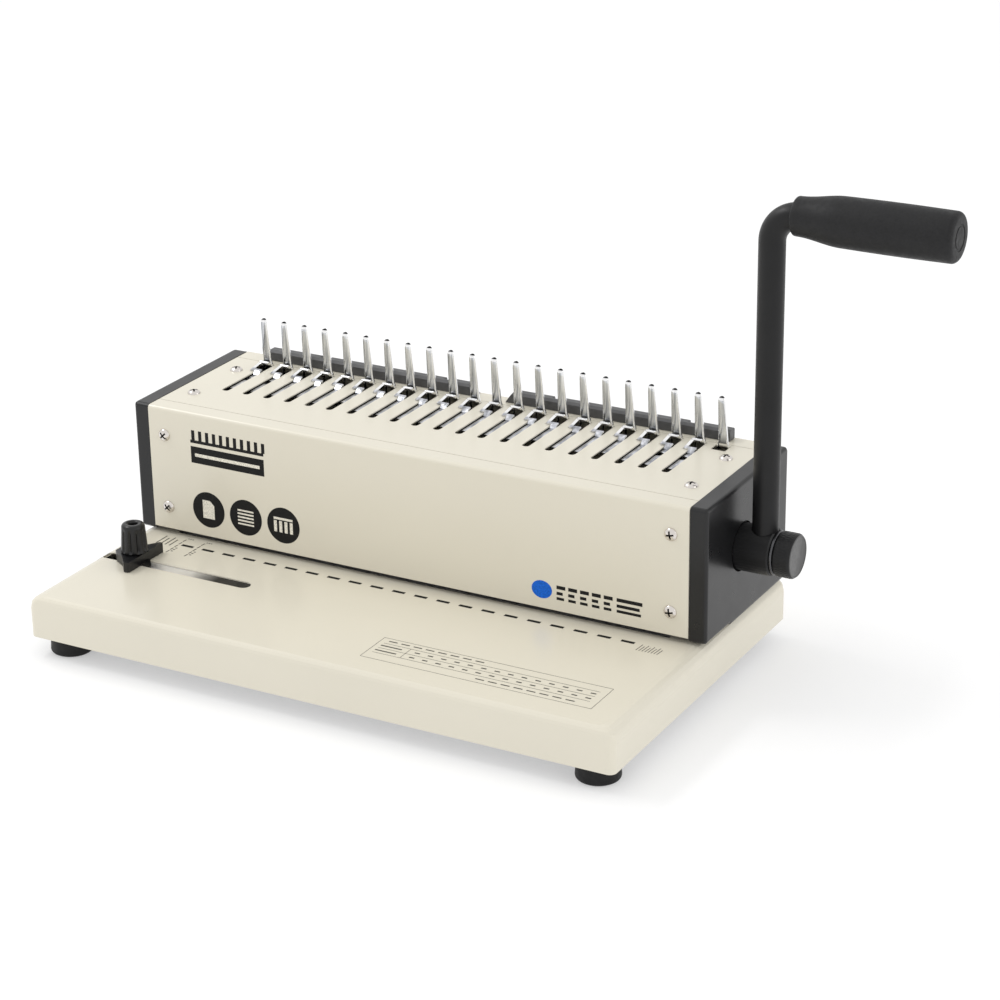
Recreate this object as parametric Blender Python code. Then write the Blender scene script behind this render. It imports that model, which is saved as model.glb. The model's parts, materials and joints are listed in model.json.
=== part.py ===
"""Comb binding machine: a manual punch and plastic-comb opener worked by one side lever.

Sizes are millimetres in the machine's own frame: X runs along the row of tines to the
right, Y to the back, Z up from the table. X = 0 is the middle of the comb, and Y = 0 is
the row of printed hole marks in front of the housing. Everything hangs on one empty,
which puts the origin at the middle of the whole machine's box, on the table.
"""

import math

import bmesh
import bpy
from mathutils import Matrix, Vector

MM = 0.001

# ---------------------------------------------------------------- driving dimensions
PITCH = 9.0 / 16.0 * 25.4          # spacing of plastic comb rings
RINGS = 21                         # rings, hooks, slots and punches
TINES = RINGS + 1

FOOT_HEIGHT = 11.7
FOOT_RADIUS = 12.2
PAN_BOTTOM = 11.5
DECK = 36.5                        # top of the base, where the paper lies
PAN_HALF_WIDTH = 183.6
PAN_FRONT = -98.0
PAN_BACK = 118.5
SHEET = 1.5

HOUSING_TOP = 115.6
HOUSING_FRONT = 11.1
HOUSING_BACK = 117.3
HOUSING_HALF_WIDTH = 173.0
THROAT = 3.8                       # paper gap between the deck and the front cover
COVER_SHEET = 1.2
TOP_SHEET = 0.9
CAP_WIDTH = 10.1
CAP_GAP = 1.6                      # under the front part of a cap
CAP_OUTER = HOUSING_HALF_WIDTH + 0.3 + CAP_WIDTH
CAP_ROUNDING = 2.4
FRAME_OUTER = 170.0                # side frames inside the housing
FRAME_INNER = 167.0
FLANGE_INNER = 154.5
SCREW_X = 162.5
TOP_SCREW_X = 160.5
FRONT_SCREW_Z = (53.9, 98.7)
TOP_SCREW_Y = (39.9, 84.3)
SCREW_HOLE = 2.3

LEVER_Y = 57.3
LEVER_Z = 78.5
LEVER_X = 196.5
LEVER_LENGTH = 188.3               # lever axis to grip axis
ARM_RADIUS = 7.2
ARM_BEND = 15.0
GRIP_START = 209.5
GRIP_END = 297.5
SHAFT_RADIUS = 5.5
BUSH_RADIUS = 8.9
HUB_RADIUS = 13.2
HUB_END = 203.4
GRIP_Z = LEVER_Z + LEVER_LENGTH

SLOT_OFFSET = 3.1                  # slot centre, to the right of its tine
SLOT_WIDTH = 4.6
SLOT_FRONT = 51.2
TINE_TOP = 144.9
TINE_FRONT = 99.0
TINE_THICK = 2.0
TINE_WINDOW = (-1.3, 4.3, 110.6, 117.8)    # left, right, bottom and top of the hole at its foot
APERTURE = (-3.2, 5.4)             # tine opening, from the tine's centre
APERTURE_FRONT = 87.6
APERTURE_BACK = 101.5
LAST_APERTURE_FRONT = 93.8         # the last tine has no hook
HOOK_RAMP = ((84.6, -0.9), (86.6, 1.05), (88.6, 1.4), (97.0, 2.7))    # Y and height of its top side
HOOK_SHEET = 0.9
HOOK_COLUMNS = (-2.0, 0.0, 1.15, 5.05)    # leg, step and the blade in the slot, from the tine's centre
HOOK_BAR = (1.6, 3.4)              # heights over the top plate
SLIDER_HALF = 152.3
SLIDER_FRONT = 59.6
SLIDER_BACK = 87.4
SLIDER_LOW = 113.0
SLIDER_HIGH = 114.4
SLIDER_NOTCHES = ((3, 64.5), (5, 68.0), (14, 64.5), (17, 64.5))    # ring number, and how far back
SLIDER_HOLES = (0, 1, 19, 20)
PLATE_SEAM = 103.8                 # joint between the top plate and the rear cover
REST_NOTCHES = (-8 * PITCH, -2 * PITCH, 3 * PITCH, 9 * PITCH)

GUIDE_X = -157.6
GUIDE_Y = -31.0
GUIDE_SLOT = (-179.6, -78.8)
GUIDE_SLOT_WIDTH = 8.4
TRACK = (-180.0, -14.0)            # shallow track under the deck for the clamp bar
TRACK_DEPTH = 0.7
CLAMP_HALF = 5.5
GUIDE_BORE = 2.7

PUNCH_Y = 20.4
PUNCH_SIZE = (8.0, 3.0)
PUNCH_BAR_LOW = 65.0
PUNCH_BAR_HIGH = 77.0
DIE_HALF = 160.0
DIE_FRONT = 15.2
DIE_BACK = 33.0
SPRING_X = 153.2
SPRING_SEAT = 42.0
TRAY_FRONT = -11.0
TRAY_BACK = 61.0
TRAY_BOTTOM = 13.7
TRAY_TOP = 27.5
TRAY_END = 150.0
SCREW_HEAD = 3.2
SCREW_PROUD = 2.2
SHANK = 1.9
GAP = 0.3

SECTOR_MODULE = 1.5
SECTOR_TEETH = 28
PINION_MODULE = 1.0
PINION_TEETH = 16
BACKLASH = 0.4
PRESSURE = math.radians(20.0)
SHARP = math.radians(35.0)

BOX_CENTRE_X = (GRIP_END - PAN_HALF_WIDTH) / 2
BOX_CENTRE_Y = (PAN_FRONT + HOUSING_BACK + SCREW_PROUD) / 2


# ---------------------------------------------------------------- scene helpers
def clear_scene():
    for obj in list(bpy.data.objects):
        bpy.data.objects.remove(obj, do_unlink=True)


def make_material(name, colour, roughness, metallic):
    material = bpy.data.materials.new(name)
    material.use_nodes = True
    shader = material.node_tree.nodes["Principled BSDF"]
    shader.inputs["Base Color"].default_value = (*colour, 1.0)
    shader.inputs["Roughness"].default_value = roughness
    shader.inputs["Metallic"].default_value = metallic
    return material


def make_root():
    root = bpy.data.objects.new("machine", None)
    root.location = (-BOX_CENTRE_X * MM, -BOX_CENTRE_Y * MM, 0.0)
    bpy.context.scene.collection.objects.link(root)
    return root


def finish(name, bm, material, origin=(0.0, 0.0, 0.0)):
    """Turns a bmesh in millimetres into an object whose own origin is at origin."""
    bmesh.ops.recalc_face_normals(bm, faces=bm.faces)
    bmesh.ops.translate(bm, verts=bm.verts, vec=-Vector(origin))
    bmesh.ops.scale(bm, verts=bm.verts, vec=(MM, MM, MM))
    mesh = bpy.data.meshes.new(name)
    bm.to_mesh(mesh)
    bm.free()
    mesh.shade_smooth()
    mesh.set_sharp_from_angle(angle=SHARP)
    mesh.materials.append(material)
    obj = bpy.data.objects.new(name, mesh)
    obj.location = Vector(origin) * MM
    obj.parent = ROOT
    bpy.context.scene.collection.objects.link(obj)
    return obj


def helper(name, bm):
    """A shape that only cuts or joins others."""
    obj = finish(name, bm, STEEL)
    obj.hide_render = True
    obj.display_type = "WIRE"
    return obj


def boolean(obj, other, operation):
    modifier = obj.modifiers.new(other.name, "BOOLEAN")
    modifier.operation = operation
    modifier.object = other


def cut(obj, other):
    boolean(obj, other, "DIFFERENCE")


def join(obj, other):
    boolean(obj, other, "UNION")


def soften(obj, width, segments=2):
    modifier = obj.modifiers.new("soften", "BEVEL")
    modifier.width = width * MM
    modifier.segments = segments
    modifier.limit_method = "ANGLE"
    modifier.angle_limit = SHARP


def round_outer_edges(obj, x, width):
    """Bevels only the edges that lie in the plane at x, in metres."""
    vertices = obj.data.vertices
    weights = obj.data.attributes.new("bevel_weight_edge", "FLOAT", "EDGE")
    for edge in obj.data.edges:
        if all(abs(vertices[i].co.x - x) < 1e-6 for i in edge.vertices):
            weights.data[edge.index].value = 1.0
    modifier = obj.modifiers.new("round", "BEVEL")
    modifier.width = width * MM
    modifier.segments = 4
    modifier.limit_method = "WEIGHT"


# ---------------------------------------------------------------- shape helpers
def add_box(bm, low, high):
    centre = (Vector(low) + Vector(high)) / 2
    size = Vector(high) - Vector(low)
    place = Matrix.Translation(centre) @ Matrix.Diagonal((*size, 1.0))
    bmesh.ops.create_cube(bm, size=1.0, matrix=place)


def box(name, low, high, material, edge=0.0):
    bm = bmesh.new()
    add_box(bm, low, high)
    obj = finish(name, bm, material)
    if edge:
        soften(obj, edge)
    return obj


def on_axis(axis, u, v, along):
    """A point from two outline coordinates and a distance along the axis."""
    return {"x": (along, u, v), "y": (u, along, v), "z": (u, v, along)}[axis]


def add_prism(bm, outline, axis, start, end):
    verts = [bm.verts.new(on_axis(axis, u, v, start)) for u, v in outline]
    face = bm.faces.new(verts)
    extruded = bmesh.ops.extrude_face_region(bm, geom=[face])
    moved = [item for item in extruded["geom"] if isinstance(item, bmesh.types.BMVert)]
    bmesh.ops.translate(bm, verts=moved, vec=on_axis(axis, 0.0, 0.0, end - start))


def arc(centre, radius, start, end, steps):
    """Points on an arc, with angles in degrees."""
    points = []
    for i in range(steps + 1):
        angle = math.radians(start + (end - start) * i / steps)
        points.append((centre[0] + radius * math.cos(angle), centre[1] + radius * math.sin(angle)))
    return points


def circle(centre, radius, steps):
    return arc(centre, radius, 0.0, 360.0, steps)[:-1]


def add_cylinder(bm, axis, centre, radius, start, end, steps=32):
    add_prism(bm, circle(centre, radius, steps), axis, start, end)


def cylinder_cutter(name, axis, centre, radius, start, end, steps=32):
    bm = bmesh.new()
    add_cylinder(bm, axis, centre, radius, start, end, steps)
    return helper(name, bm)


def add_turned(bm, axis, centre, profile, steps=48, ripple=None):
    """Turns (along, radius) points about an axis; a closed profile makes a ring.

    ripple(angle, along) scales the radius, for flutes and knurls.
    """
    rings = []
    for along, radius in profile:
        if radius == 0.0:
            rings.append([bm.verts.new(on_axis(axis, centre[0], centre[1], along))])
            continue
        ring = []
        for i in range(steps):
            angle = 2 * math.pi * i / steps
            r = radius * (ripple(angle, along) if ripple else 1.0)
            u = centre[0] + r * math.cos(angle)
            v = centre[1] + r * math.sin(angle)
            ring.append(bm.verts.new(on_axis(axis, u, v, along)))
        rings.append(ring)
    closed = profile[0][1] != 0.0
    pairs = list(zip(rings, rings[1:] + rings[:1])) if closed else list(zip(rings, rings[1:]))
    for lower, upper in pairs:
        for i in range(steps):
            j = (i + 1) % steps
            corners = [ring[k % len(ring)] for ring, k in ((lower, i), (lower, j), (upper, j), (upper, i))]
            bm.faces.new(list(dict.fromkeys(corners)))


def turned(name, axis, centre, profile, material, steps=48, ripple=None, origin=(0.0, 0.0, 0.0)):
    bm = bmesh.new()
    add_turned(bm, axis, centre, profile, steps, ripple)
    return finish(name, bm, material, origin)


def bent_sheet(points, thickness, radius, steps=4):
    """The cross-section of a folded sheet: an outer path of right-angle bends, offset inwards.

    The path turns right at each bend as it is listed, and the sheet lies to its right.
    """
    outer = []
    inner = []
    for i, point in enumerate(points):
        here = Vector(point)
        if i in (0, len(points) - 1):
            other = Vector(points[1] if i == 0 else points[-2])
            along = (other - here).normalized() if i == 0 else (here - other).normalized()
            side = Vector((along.y, -along.x))
            outer.append(tuple(here))
            inner.append(tuple(here + side * thickness))
            continue
        before = (here - Vector(points[i - 1])).normalized()
        after = (Vector(points[i + 1]) - here).normalized()
        centre = here + (after - before) * radius
        start = math.degrees(math.atan2(-after.y, -after.x))
        outer += arc(centre, radius, start, start - 90.0, steps)
        inner += arc(centre, radius - thickness, start, start - 90.0, steps)
    return outer + inner[::-1]


def rounded_rectangle(half_x, half_y, radius, steps=5):
    points = []
    for sign_x, sign_y, start in ((1, 1, 0), (-1, 1, 90), (-1, -1, 180), (1, -1, 270)):
        centre = (sign_x * (half_x - radius), sign_y * (half_y - radius))
        points += arc(centre, radius, start, start + 90, steps)
    return points


def slot_outline(x0, x1, y, width, steps=8):
    """A slot along X with round ends."""
    half = width / 2
    return arc((x1 - half, y), half, -90, 90, steps) + arc((x0 + half, y), half, 90, 270, steps)


def ring_x(index):
    """The middle of ring, hole mark and punch number index, from 0."""
    return (index - (RINGS - 1) / 2) * PITCH


def tine_x(index):
    return (index - (TINES - 1) / 2) * PITCH


# ---------------------------------------------------------------- gears
def involute(angle):
    return math.tan(angle) - angle


def gear_tooth(module, teeth, centre_angle, flank_steps=2):
    """One tooth as (radius, angle) points, from one root to the other."""
    pitch_radius = module * teeth / 2
    base_radius = pitch_radius * math.cos(PRESSURE)
    root = pitch_radius - 1.25 * module
    tip = pitch_radius + module
    half_pitch = (math.pi * module / 2 - BACKLASH) / 2 / pitch_radius
    start = max(base_radius, root)
    rising = [(root, half_pitch + involute(PRESSURE))]
    for i in range(flank_steps + 1):
        radius = start + (tip - start) * i / flank_steps
        flank = math.acos(min(1.0, base_radius / radius))
        rising.append((radius, half_pitch + involute(PRESSURE) - involute(flank)))
    left = [(radius, centre_angle - half) for radius, half in rising]
    right = [(radius, centre_angle + half) for radius, half in reversed(rising)]
    return left + right


def polar(points, centre):
    return [(centre[0] + r * math.cos(a), centre[1] + r * math.sin(a)) for r, a in points]


def rack_teeth(module, centre, first, last):
    """Rack teeth as (along, height) points, with a gap centred on centre; height 0 is the pitch line."""
    pitch = math.pi * module
    half = (pitch / 2 - BACKLASH) / 2
    tip = 0.9 * module
    root = -1.25 * module
    slope = math.tan(PRESSURE)
    points = []
    for i in range(first, last + 1):
        middle = centre + (i + 0.5) * pitch
        points.append((middle - half + root * slope, root))
        points.append((middle - half + tip * slope, tip))
        points.append((middle + half - tip * slope, tip))
        points.append((middle + half - root * slope, root))
    return points


# ---------------------------------------------------------------- base
def pan_loops(inset, corner):
    """Stacked outlines of the pan from its bottom edge to its top, insetting to roll the top edges."""
    side_roll = 8.0 - inset
    front_roll = 3.5 - inset
    half_y = (PAN_BACK - PAN_FRONT) / 2 - inset
    half_x = PAN_HALF_WIDTH - inset
    top = DECK - inset
    loops = [(PAN_BOTTOM, half_x, half_y)]
    for depth in (side_roll, side_roll * 0.55, front_roll, front_roll * 0.5, front_roll * 0.15, 0.0):
        side = side_roll - math.sqrt(max(0.0, side_roll ** 2 - (side_roll - depth) ** 2))
        front = 0.0
        if depth < front_roll:
            front = front_roll - math.sqrt(front_roll ** 2 - (front_roll - depth) ** 2)
        loops.append((top - depth, half_x - side, half_y - front))
    middle_y = (PAN_BACK + PAN_FRONT) / 2
    stack = []
    for z, x, y in loops:
        stack.append([(u, v + middle_y, z) for u, v in rounded_rectangle(x, y, corner)])
    return stack


def build_base_pan():
    bm = bmesh.new()
    outer = [[bm.verts.new(p) for p in loop] for loop in pan_loops(0.0, 4.0)]
    inner = [[bm.verts.new(p) for p in loop] for loop in pan_loops(SHEET, 2.5)]
    for stack in (outer, inner):
        for lower, upper in zip(stack, stack[1:]):
            for i in range(len(lower)):
                j = (i + 1) % len(lower)
                bm.faces.new((lower[i], lower[j], upper[j], upper[i]))
        bm.faces.new(stack[-1])
    for i in range(len(outer[0])):
        j = (i + 1) % len(outer[0])
        bm.faces.new((outer[0][i], outer[0][j], inner[0][j], inner[0][i]))
    pan = finish("base_pan", bm, CREAM)

    bm = bmesh.new()
    add_prism(bm, slot_outline(*GUIDE_SLOT, GUIDE_Y, GUIDE_SLOT_WIDTH), "z", DECK - 3, DECK + 1)
    cut(pan, helper("guide_slot_cutter", bm))
    bm = bmesh.new()
    add_box(bm, (-DIE_HALF - GAP, DIE_FRONT - GAP, DECK - 3), (DIE_HALF + GAP, DIE_BACK + GAP, DECK + 1))
    add_box(bm, (-PAN_HALF_WIDTH - 3, TRAY_FRONT - 0.5, TRAY_BOTTOM - 0.4),
            (-PAN_HALF_WIDTH + 6, TRAY_BACK + 0.5, TRAY_TOP + 0.5))
    track_half = CLAMP_HALF + 0.7
    under = DECK - SHEET
    add_box(bm, (TRACK[0], GUIDE_Y - track_half, under - 1),
            (TRACK[1], GUIDE_Y + track_half, under + TRACK_DEPTH))
    cut(pan, helper("pan_openings_cutter", bm))


def build_bottom_plate():
    inset = SHEET + GAP
    half_y = (PAN_BACK - PAN_FRONT) / 2 - inset
    middle = (PAN_BACK + PAN_FRONT) / 2
    outline = [(x, y + middle) for x, y in rounded_rectangle(PAN_HALF_WIDTH - inset, half_y, 3.0)]
    bm = bmesh.new()
    add_prism(bm, outline, "z", 12.0, 13.2)
    finish("bottom_plate", bm, STEEL)


def build_chip_tray():
    wall = 1.5
    left = -PAN_HALF_WIDTH + 0.2
    bm = bmesh.new()
    add_box(bm, (left, TRAY_FRONT, TRAY_BOTTOM), (TRAY_END, TRAY_BACK, TRAY_TOP))
    tray = finish("chip_tray", bm, BLACK_PLASTIC)
    bm = bmesh.new()
    add_box(bm, (left + wall, TRAY_FRONT + wall, TRAY_BOTTOM + wall),
            (TRAY_END - wall, TRAY_BACK - wall, TRAY_TOP + 5))
    cut(tray, helper("tray_hollow_cutter", bm))
    bm = bmesh.new()
    middle = (TRAY_FRONT + TRAY_BACK) / 2
    add_prism(bm, slot_outline(middle - 20, middle + 20, 21.0, 8.0), "x", left - 2, left + wall + 1)
    cut(tray, helper("tray_pull_cutter", bm))


def build_feet():
    places = {"front_left": (-167.0, -82.0), "front_right": (167.0, -82.0),
              "rear_left": (-154.0, 98.0), "rear_right": (154.0, 98.0)}
    top = FOOT_HEIGHT - 0.3
    for place, (x, y) in places.items():
        profile = [(0.0, 4.6), (0.0, FOOT_RADIUS - 1.0), (1.0, FOOT_RADIUS), (top, FOOT_RADIUS),
                   (top, SCREW_HOLE), (6.0, SCREW_HOLE), (6.0, 4.6)]
        turned("foot_" + place, "z", (x, y), profile, RUBBER, steps=24)
        screw = [(3.6, 0.0), (3.6, 3.0), (4.2, 3.8), (5.7, 3.8), (5.7, 1.9), (11.3, 1.9), (11.3, 0.0)]
        turned("foot_screw_" + place, "z", (x, y), screw, NICKEL, steps=10)


# ---------------------------------------------------------------- housing
def screw_hole_cutter(name, axis, places, start, end):
    bm = bmesh.new()
    for place in places:
        add_cylinder(bm, axis, place, SCREW_HOLE, start, end, 12)
    return helper(name, bm)


def build_front_cover():
    path = [(HOUSING_FRONT, DECK + THROAT), (HOUSING_FRONT, HOUSING_TOP), (22.4, HOUSING_TOP)]
    bm = bmesh.new()
    add_prism(bm, bent_sheet(path, COVER_SHEET, 2.0), "x", -HOUSING_HALF_WIDTH, HOUSING_HALF_WIDTH)
    cover = finish("front_cover", bm, CREAM)
    holes = [(side * SCREW_X, z) for side in (-1, 1) for z in FRONT_SCREW_Z]
    cut(cover, screw_hole_cutter("front_hole_cutter", "y", holes, HOUSING_FRONT - 2, HOUSING_FRONT + 3))


def build_rear_cover():
    path = [(PLATE_SEAM + 0.4, HOUSING_TOP), (HOUSING_BACK, HOUSING_TOP), (HOUSING_BACK, DECK + 0.4)]
    bm = bmesh.new()
    add_prism(bm, bent_sheet(path, COVER_SHEET, 2.0), "x", -HOUSING_HALF_WIDTH, HOUSING_HALF_WIDTH)
    cover = finish("rear_cover", bm, CREAM)
    holes = [(side * SCREW_X, z) for side in (-1, 1) for z in FRONT_SCREW_Z]
    cut(cover, screw_hole_cutter("rear_hole_cutter", "y", holes, HOUSING_BACK - 3, HOUSING_BACK + 2))


def build_top_plate():
    low = HOUSING_TOP - TOP_SHEET
    plate = box("top_plate", (-HOUSING_HALF_WIDTH, 22.8, low),
                (HOUSING_HALF_WIDTH, PLATE_SEAM, HOUSING_TOP), CREAM)
    bm = bmesh.new()
    for i in range(TINES):
        x = tine_x(i)
        left = x + APERTURE[0]
        right = x + APERTURE[1]
        if i < RINGS:
            slot_left = x + SLOT_OFFSET - SLOT_WIDTH / 2
            slot_right = x + SLOT_OFFSET + SLOT_WIDTH / 2
            corner = 1.8
            outline = arc((slot_left + corner, SLOT_FRONT + corner), corner, 180, 270, 2)
            outline += arc((slot_right - corner, SLOT_FRONT + corner), corner, 270, 360, 2)
            outline += [(right, APERTURE_BACK), (left, APERTURE_BACK), (left, APERTURE_FRONT),
                        (slot_left, APERTURE_FRONT)]
        else:
            outline = [(left, LAST_APERTURE_FRONT), (right, LAST_APERTURE_FRONT),
                       (right, APERTURE_BACK), (left, APERTURE_BACK)]
        add_prism(bm, outline, "z", low - 1, HOUSING_TOP + 1)
    cut(plate, helper("slot_cutter", bm))
    holes = [(side * TOP_SCREW_X, y) for side in (-1, 1) for y in TOP_SCREW_Y]
    cut(plate, screw_hole_cutter("top_hole_cutter", "z", holes, low - 1, HOUSING_TOP + 1))


def cap_outline(inset):
    """The side view of an end cap, with the paper gap cut out of its front bottom corner."""
    front = 11.7 + inset
    back = HOUSING_BACK - 0.3 - inset
    top = HOUSING_TOP + 0.2 - inset
    step = DECK + CAP_GAP + inset
    bottom = DECK + 0.3 + inset
    outline = [(front + 1.2, step), (42.5 + inset, step), (44.5 + inset, bottom), (back, bottom)]
    outline += arc((back - 3.0, top - 3.0), 3.0, 0, 90, 4)
    outline += arc((front + 2.0, top - 2.0), 2.0, 90, 180, 3)
    outline += [(front, step + 1.2)]
    return outline


def build_end_cap(name, side):
    wall = 2.3
    inner = side * (HOUSING_HALF_WIDTH + 0.3)
    outer = side * CAP_OUTER
    bm = bmesh.new()
    add_prism(bm, cap_outline(0.0), "x", inner, outer)
    cap = finish(name, bm, BLACK_PLASTIC)
    round_outer_edges(cap, outer * MM, CAP_ROUNDING)
    bm = bmesh.new()
    add_prism(bm, cap_outline(wall), "x", inner - side * 2, outer - side * wall)
    cut(cap, helper(name + "_hollow_cutter", bm))
    if side > 0:
        cut(cap, cylinder_cutter("hub_hole_cutter", "x", (LEVER_Y, LEVER_Z), HUB_RADIUS + 0.9,
                                 inner - 1, outer + 2, 48))


def build_side_frame(name, side):
    """A folded steel side plate with flanges that take the cover screws."""
    def wall(bm, x0, x1, y0, y1, z0, z1):
        low, high = sorted((side * x0, side * x1))
        add_box(bm, (low, y0, z0), (high, y1, z1))

    flange_thick = 2.0
    top = HOUSING_TOP - COVER_SHEET - 0.5
    back = HOUSING_BACK - COVER_SHEET - 0.3
    bm = bmesh.new()
    wall(bm, FRAME_INNER, FRAME_OUTER, 12.6, back, DECK + THROAT + 0.5, top)
    frame = finish(name, bm, STEEL)
    bm = bmesh.new()
    wall(bm, FLANGE_INNER, FRAME_INNER + 1, 12.7, 14.7, 46.0, 106.0)
    wall(bm, FLANGE_INNER, FRAME_INNER + 1, back - 0.1 - flange_thick, back - 0.1, 46.0, 106.0)
    wall(bm, FLANGE_INNER, FRAME_INNER + 1, 30.0, 95.0, top - flange_thick, top - 0.1)
    join(frame, helper(name + "_flanges", bm))
    bm = bmesh.new()
    wall(bm, FRAME_INNER, FRAME_OUTER, 40.0, 108.0, DECK + 0.4, DECK + THROAT + 1)
    join(frame, helper(name + "_leg", bm))
    bm = bmesh.new()
    wall(bm, 156.0, FRAME_INNER + 1, 40.2, 107.8, DECK + 0.5, DECK + 2.4)
    join(frame, helper(name + "_foot", bm))
    bm = bmesh.new()
    ends = sorted((side * (FRAME_INNER - 1), side * (FRAME_OUTER + 1)))
    add_cylinder(bm, "x", (LEVER_Y, LEVER_Z), BUSH_RADIUS + GAP, *ends)
    for y in (12.0, back - 3.0):
        for z in FRONT_SCREW_Z:
            add_cylinder(bm, "y", (side * SCREW_X, z), SCREW_HOLE, y, y + 4, 12)
    for y in TOP_SCREW_Y:
        add_cylinder(bm, "z", (side * TOP_SCREW_X, y), SCREW_HOLE, top - 4, top + 2, 12)
    cut(frame, helper(name + "_hole_cutter", bm))


def build_screw(name, axis, centre, seat, outward):
    """A pan-head screw with a cross recess; outward is the sign of its head's direction."""
    s = outward
    under = seat + s * 0.2
    tip = seat - s * 5.0
    head = [(seat + s * SCREW_PROUD, 0.0), (seat + s * SCREW_PROUD * 0.85, 2.4),
            (seat + s * 0.9, SCREW_HEAD), (under, SCREW_HEAD), (under, SHANK), (tip, SHANK), (tip, 0.0)]
    screw = turned(name, axis, centre, head, NICKEL, steps=14)
    long = 1.7
    short = 0.4
    cross = []
    for u, v in ((1, 0), (0, 1), (-1, 0), (0, -1)):
        cross += [(long * u + short * v, long * v - short * u), (long * u - short * v, long * v + short * u),
                  (short * (u - v), short * (u + v))]
    outline = [(centre[0] + u, centre[1] + v) for u, v in cross]
    bm = bmesh.new()
    add_prism(bm, outline, axis, seat + s * 1.1, seat + s * 3.0)
    cut(screw, helper(name + "_recess_cutter", bm))


def build_screws():
    for side, hand in ((-1, "left"), (1, "right")):
        for z, level in zip(FRONT_SCREW_Z, ("lower", "upper")):
            build_screw(f"front_screw_{hand}_{level}", "y", (side * SCREW_X, z), HOUSING_FRONT, -1)
            build_screw(f"rear_screw_{hand}_{level}", "y", (side * SCREW_X, z), HOUSING_BACK, 1)
        for y, place in zip(TOP_SCREW_Y, ("front", "rear")):
            build_screw(f"top_screw_{hand}_{place}", "z", (side * TOP_SCREW_X, y), HOUSING_TOP, 1)


def build_comb_rest(name, side):
    """A black strip behind the tines, with a slanted inner end."""
    low = HOUSING_TOP + 0.3
    front = 107.9
    profile = [(front, low), (front + 6.4, low), (front + 6.4, low + 5.6), (front + 5.6, low + 6.4),
               (front + 1.4, low + 6.4), (front, low + 5.0)]
    bm = bmesh.new()
    add_prism(bm, profile, "x", side * 9.0, side * 152.0)
    rest = finish(name, bm, BLACK_PLASTIC)
    bm = bmesh.new()
    slant = [(side * 8.0, low - 1), (side * 9.4, low - 1), (side * 15.6, low + 7.5), (side * 8.0, low + 7.5)]
    add_prism(bm, slant, "y", front - 2, front + 9)
    cut(rest, helper(name + "_end_cutter", bm))
    bm = bmesh.new()
    for x in REST_NOTCHES:
        if x * side > 0:
            add_box(bm, (x - 3.5, front + 2.4, low + 4.4), (x + 3.5, front + 7.0, low + 7.0))
    cut(rest, helper(name + "_notch_cutter", bm))


# ---------------------------------------------------------------- comb opener
def build_tine_comb():
    """All the tines and the bar that joins them, stamped from one plate."""
    bar_low = 98.0
    bar_high = 109.8
    half = FRAME_INNER - GAP
    outline = [(-half, bar_low), (half, bar_low), (half, bar_high)]
    for i in reversed(range(TINES)):
        x = tine_x(i)
        outline += [(x + 5.2, bar_high), (x + 5.2, 116.6), (x + 4.4, 119.0)]
        outline += arc((x + 0.15, TINE_TOP - 2.05), 2.05, 0, 180, 4)
        outline += [(x - 1.2, 119.0), (x - 2.1, 116.6), (x - 2.1, bar_high)]
    outline += [(-half, bar_high)]
    bm = bmesh.new()
    add_prism(bm, outline, "y", TINE_FRONT, TINE_FRONT + TINE_THICK)
    comb = finish("tine_comb", bm, CHROME)
    left, right, low, high = TINE_WINDOW
    bm = bmesh.new()
    for i in range(TINES):
        x = tine_x(i)
        add_box(bm, (x + left, TINE_FRONT - 1, low), (x + right, TINE_FRONT + TINE_THICK + 1, high))
    cut(comb, helper("tine_window_cutter", bm))
    bm = bmesh.new()
    for side in (-1, 1):
        ends = sorted((side * (half - 2), side * half))
        add_box(bm, (ends[0], TINE_FRONT + 0.5, bar_low), (ends[1], 110.0, bar_high))
    join(comb, helper("tine_tabs", bm))


def add_hook(bm, x):
    """One hook: a ramp that climbs out of the slot, and a leg that runs back beside the tine's foot."""
    columns = [x + offset for offset in HOOK_COLUMNS]
    rows = [(y, HOUSING_TOP + height) for y, height in HOOK_RAMP]
    cells = ((2, 0), (0, 1), (1, 1), (2, 1), (0, 2))
    top = {}
    bottom = {}
    for column, row in cells:
        for i, j in ((column, row), (column + 1, row), (column + 1, row + 1), (column, row + 1)):
            if (i, j) not in top:
                y, z = rows[j]
                top[i, j] = bm.verts.new((columns[i], y, z))
                bottom[i, j] = bm.verts.new((columns[i], y, z - HOOK_SHEET))
    for column, row in cells:
        corners = [(column, row), (column + 1, row), (column + 1, row + 1), (column, row + 1)]
        bm.faces.new([top[c] for c in corners])
        bm.faces.new([bottom[c] for c in reversed(corners)])
        sides = ((0, -1), (1, 0), (0, 1), (-1, 0))
        for k, (u, v) in enumerate(sides):
            if (column + u, row + v) not in cells:
                a, b = corners[k], corners[(k + 1) % 4]
                bm.faces.new((top[a], bottom[a], bottom[b], top[b]))


def hook_bar_outline(x):
    """The bar across the tine's face at the end of a hook's leg, as X and Z, with its left end rounded."""
    low, high = (HOUSING_TOP + height for height in HOOK_BAR)
    left = x + HOOK_COLUMNS[0]
    outline = [(x + 4.5, low), (x + 4.5, high - 0.4), (x + 4.1, high)]
    return outline + arc((left + 1.3, high - 1.3), 1.3, 90, 180, 3) + [(left, low)]


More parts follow.
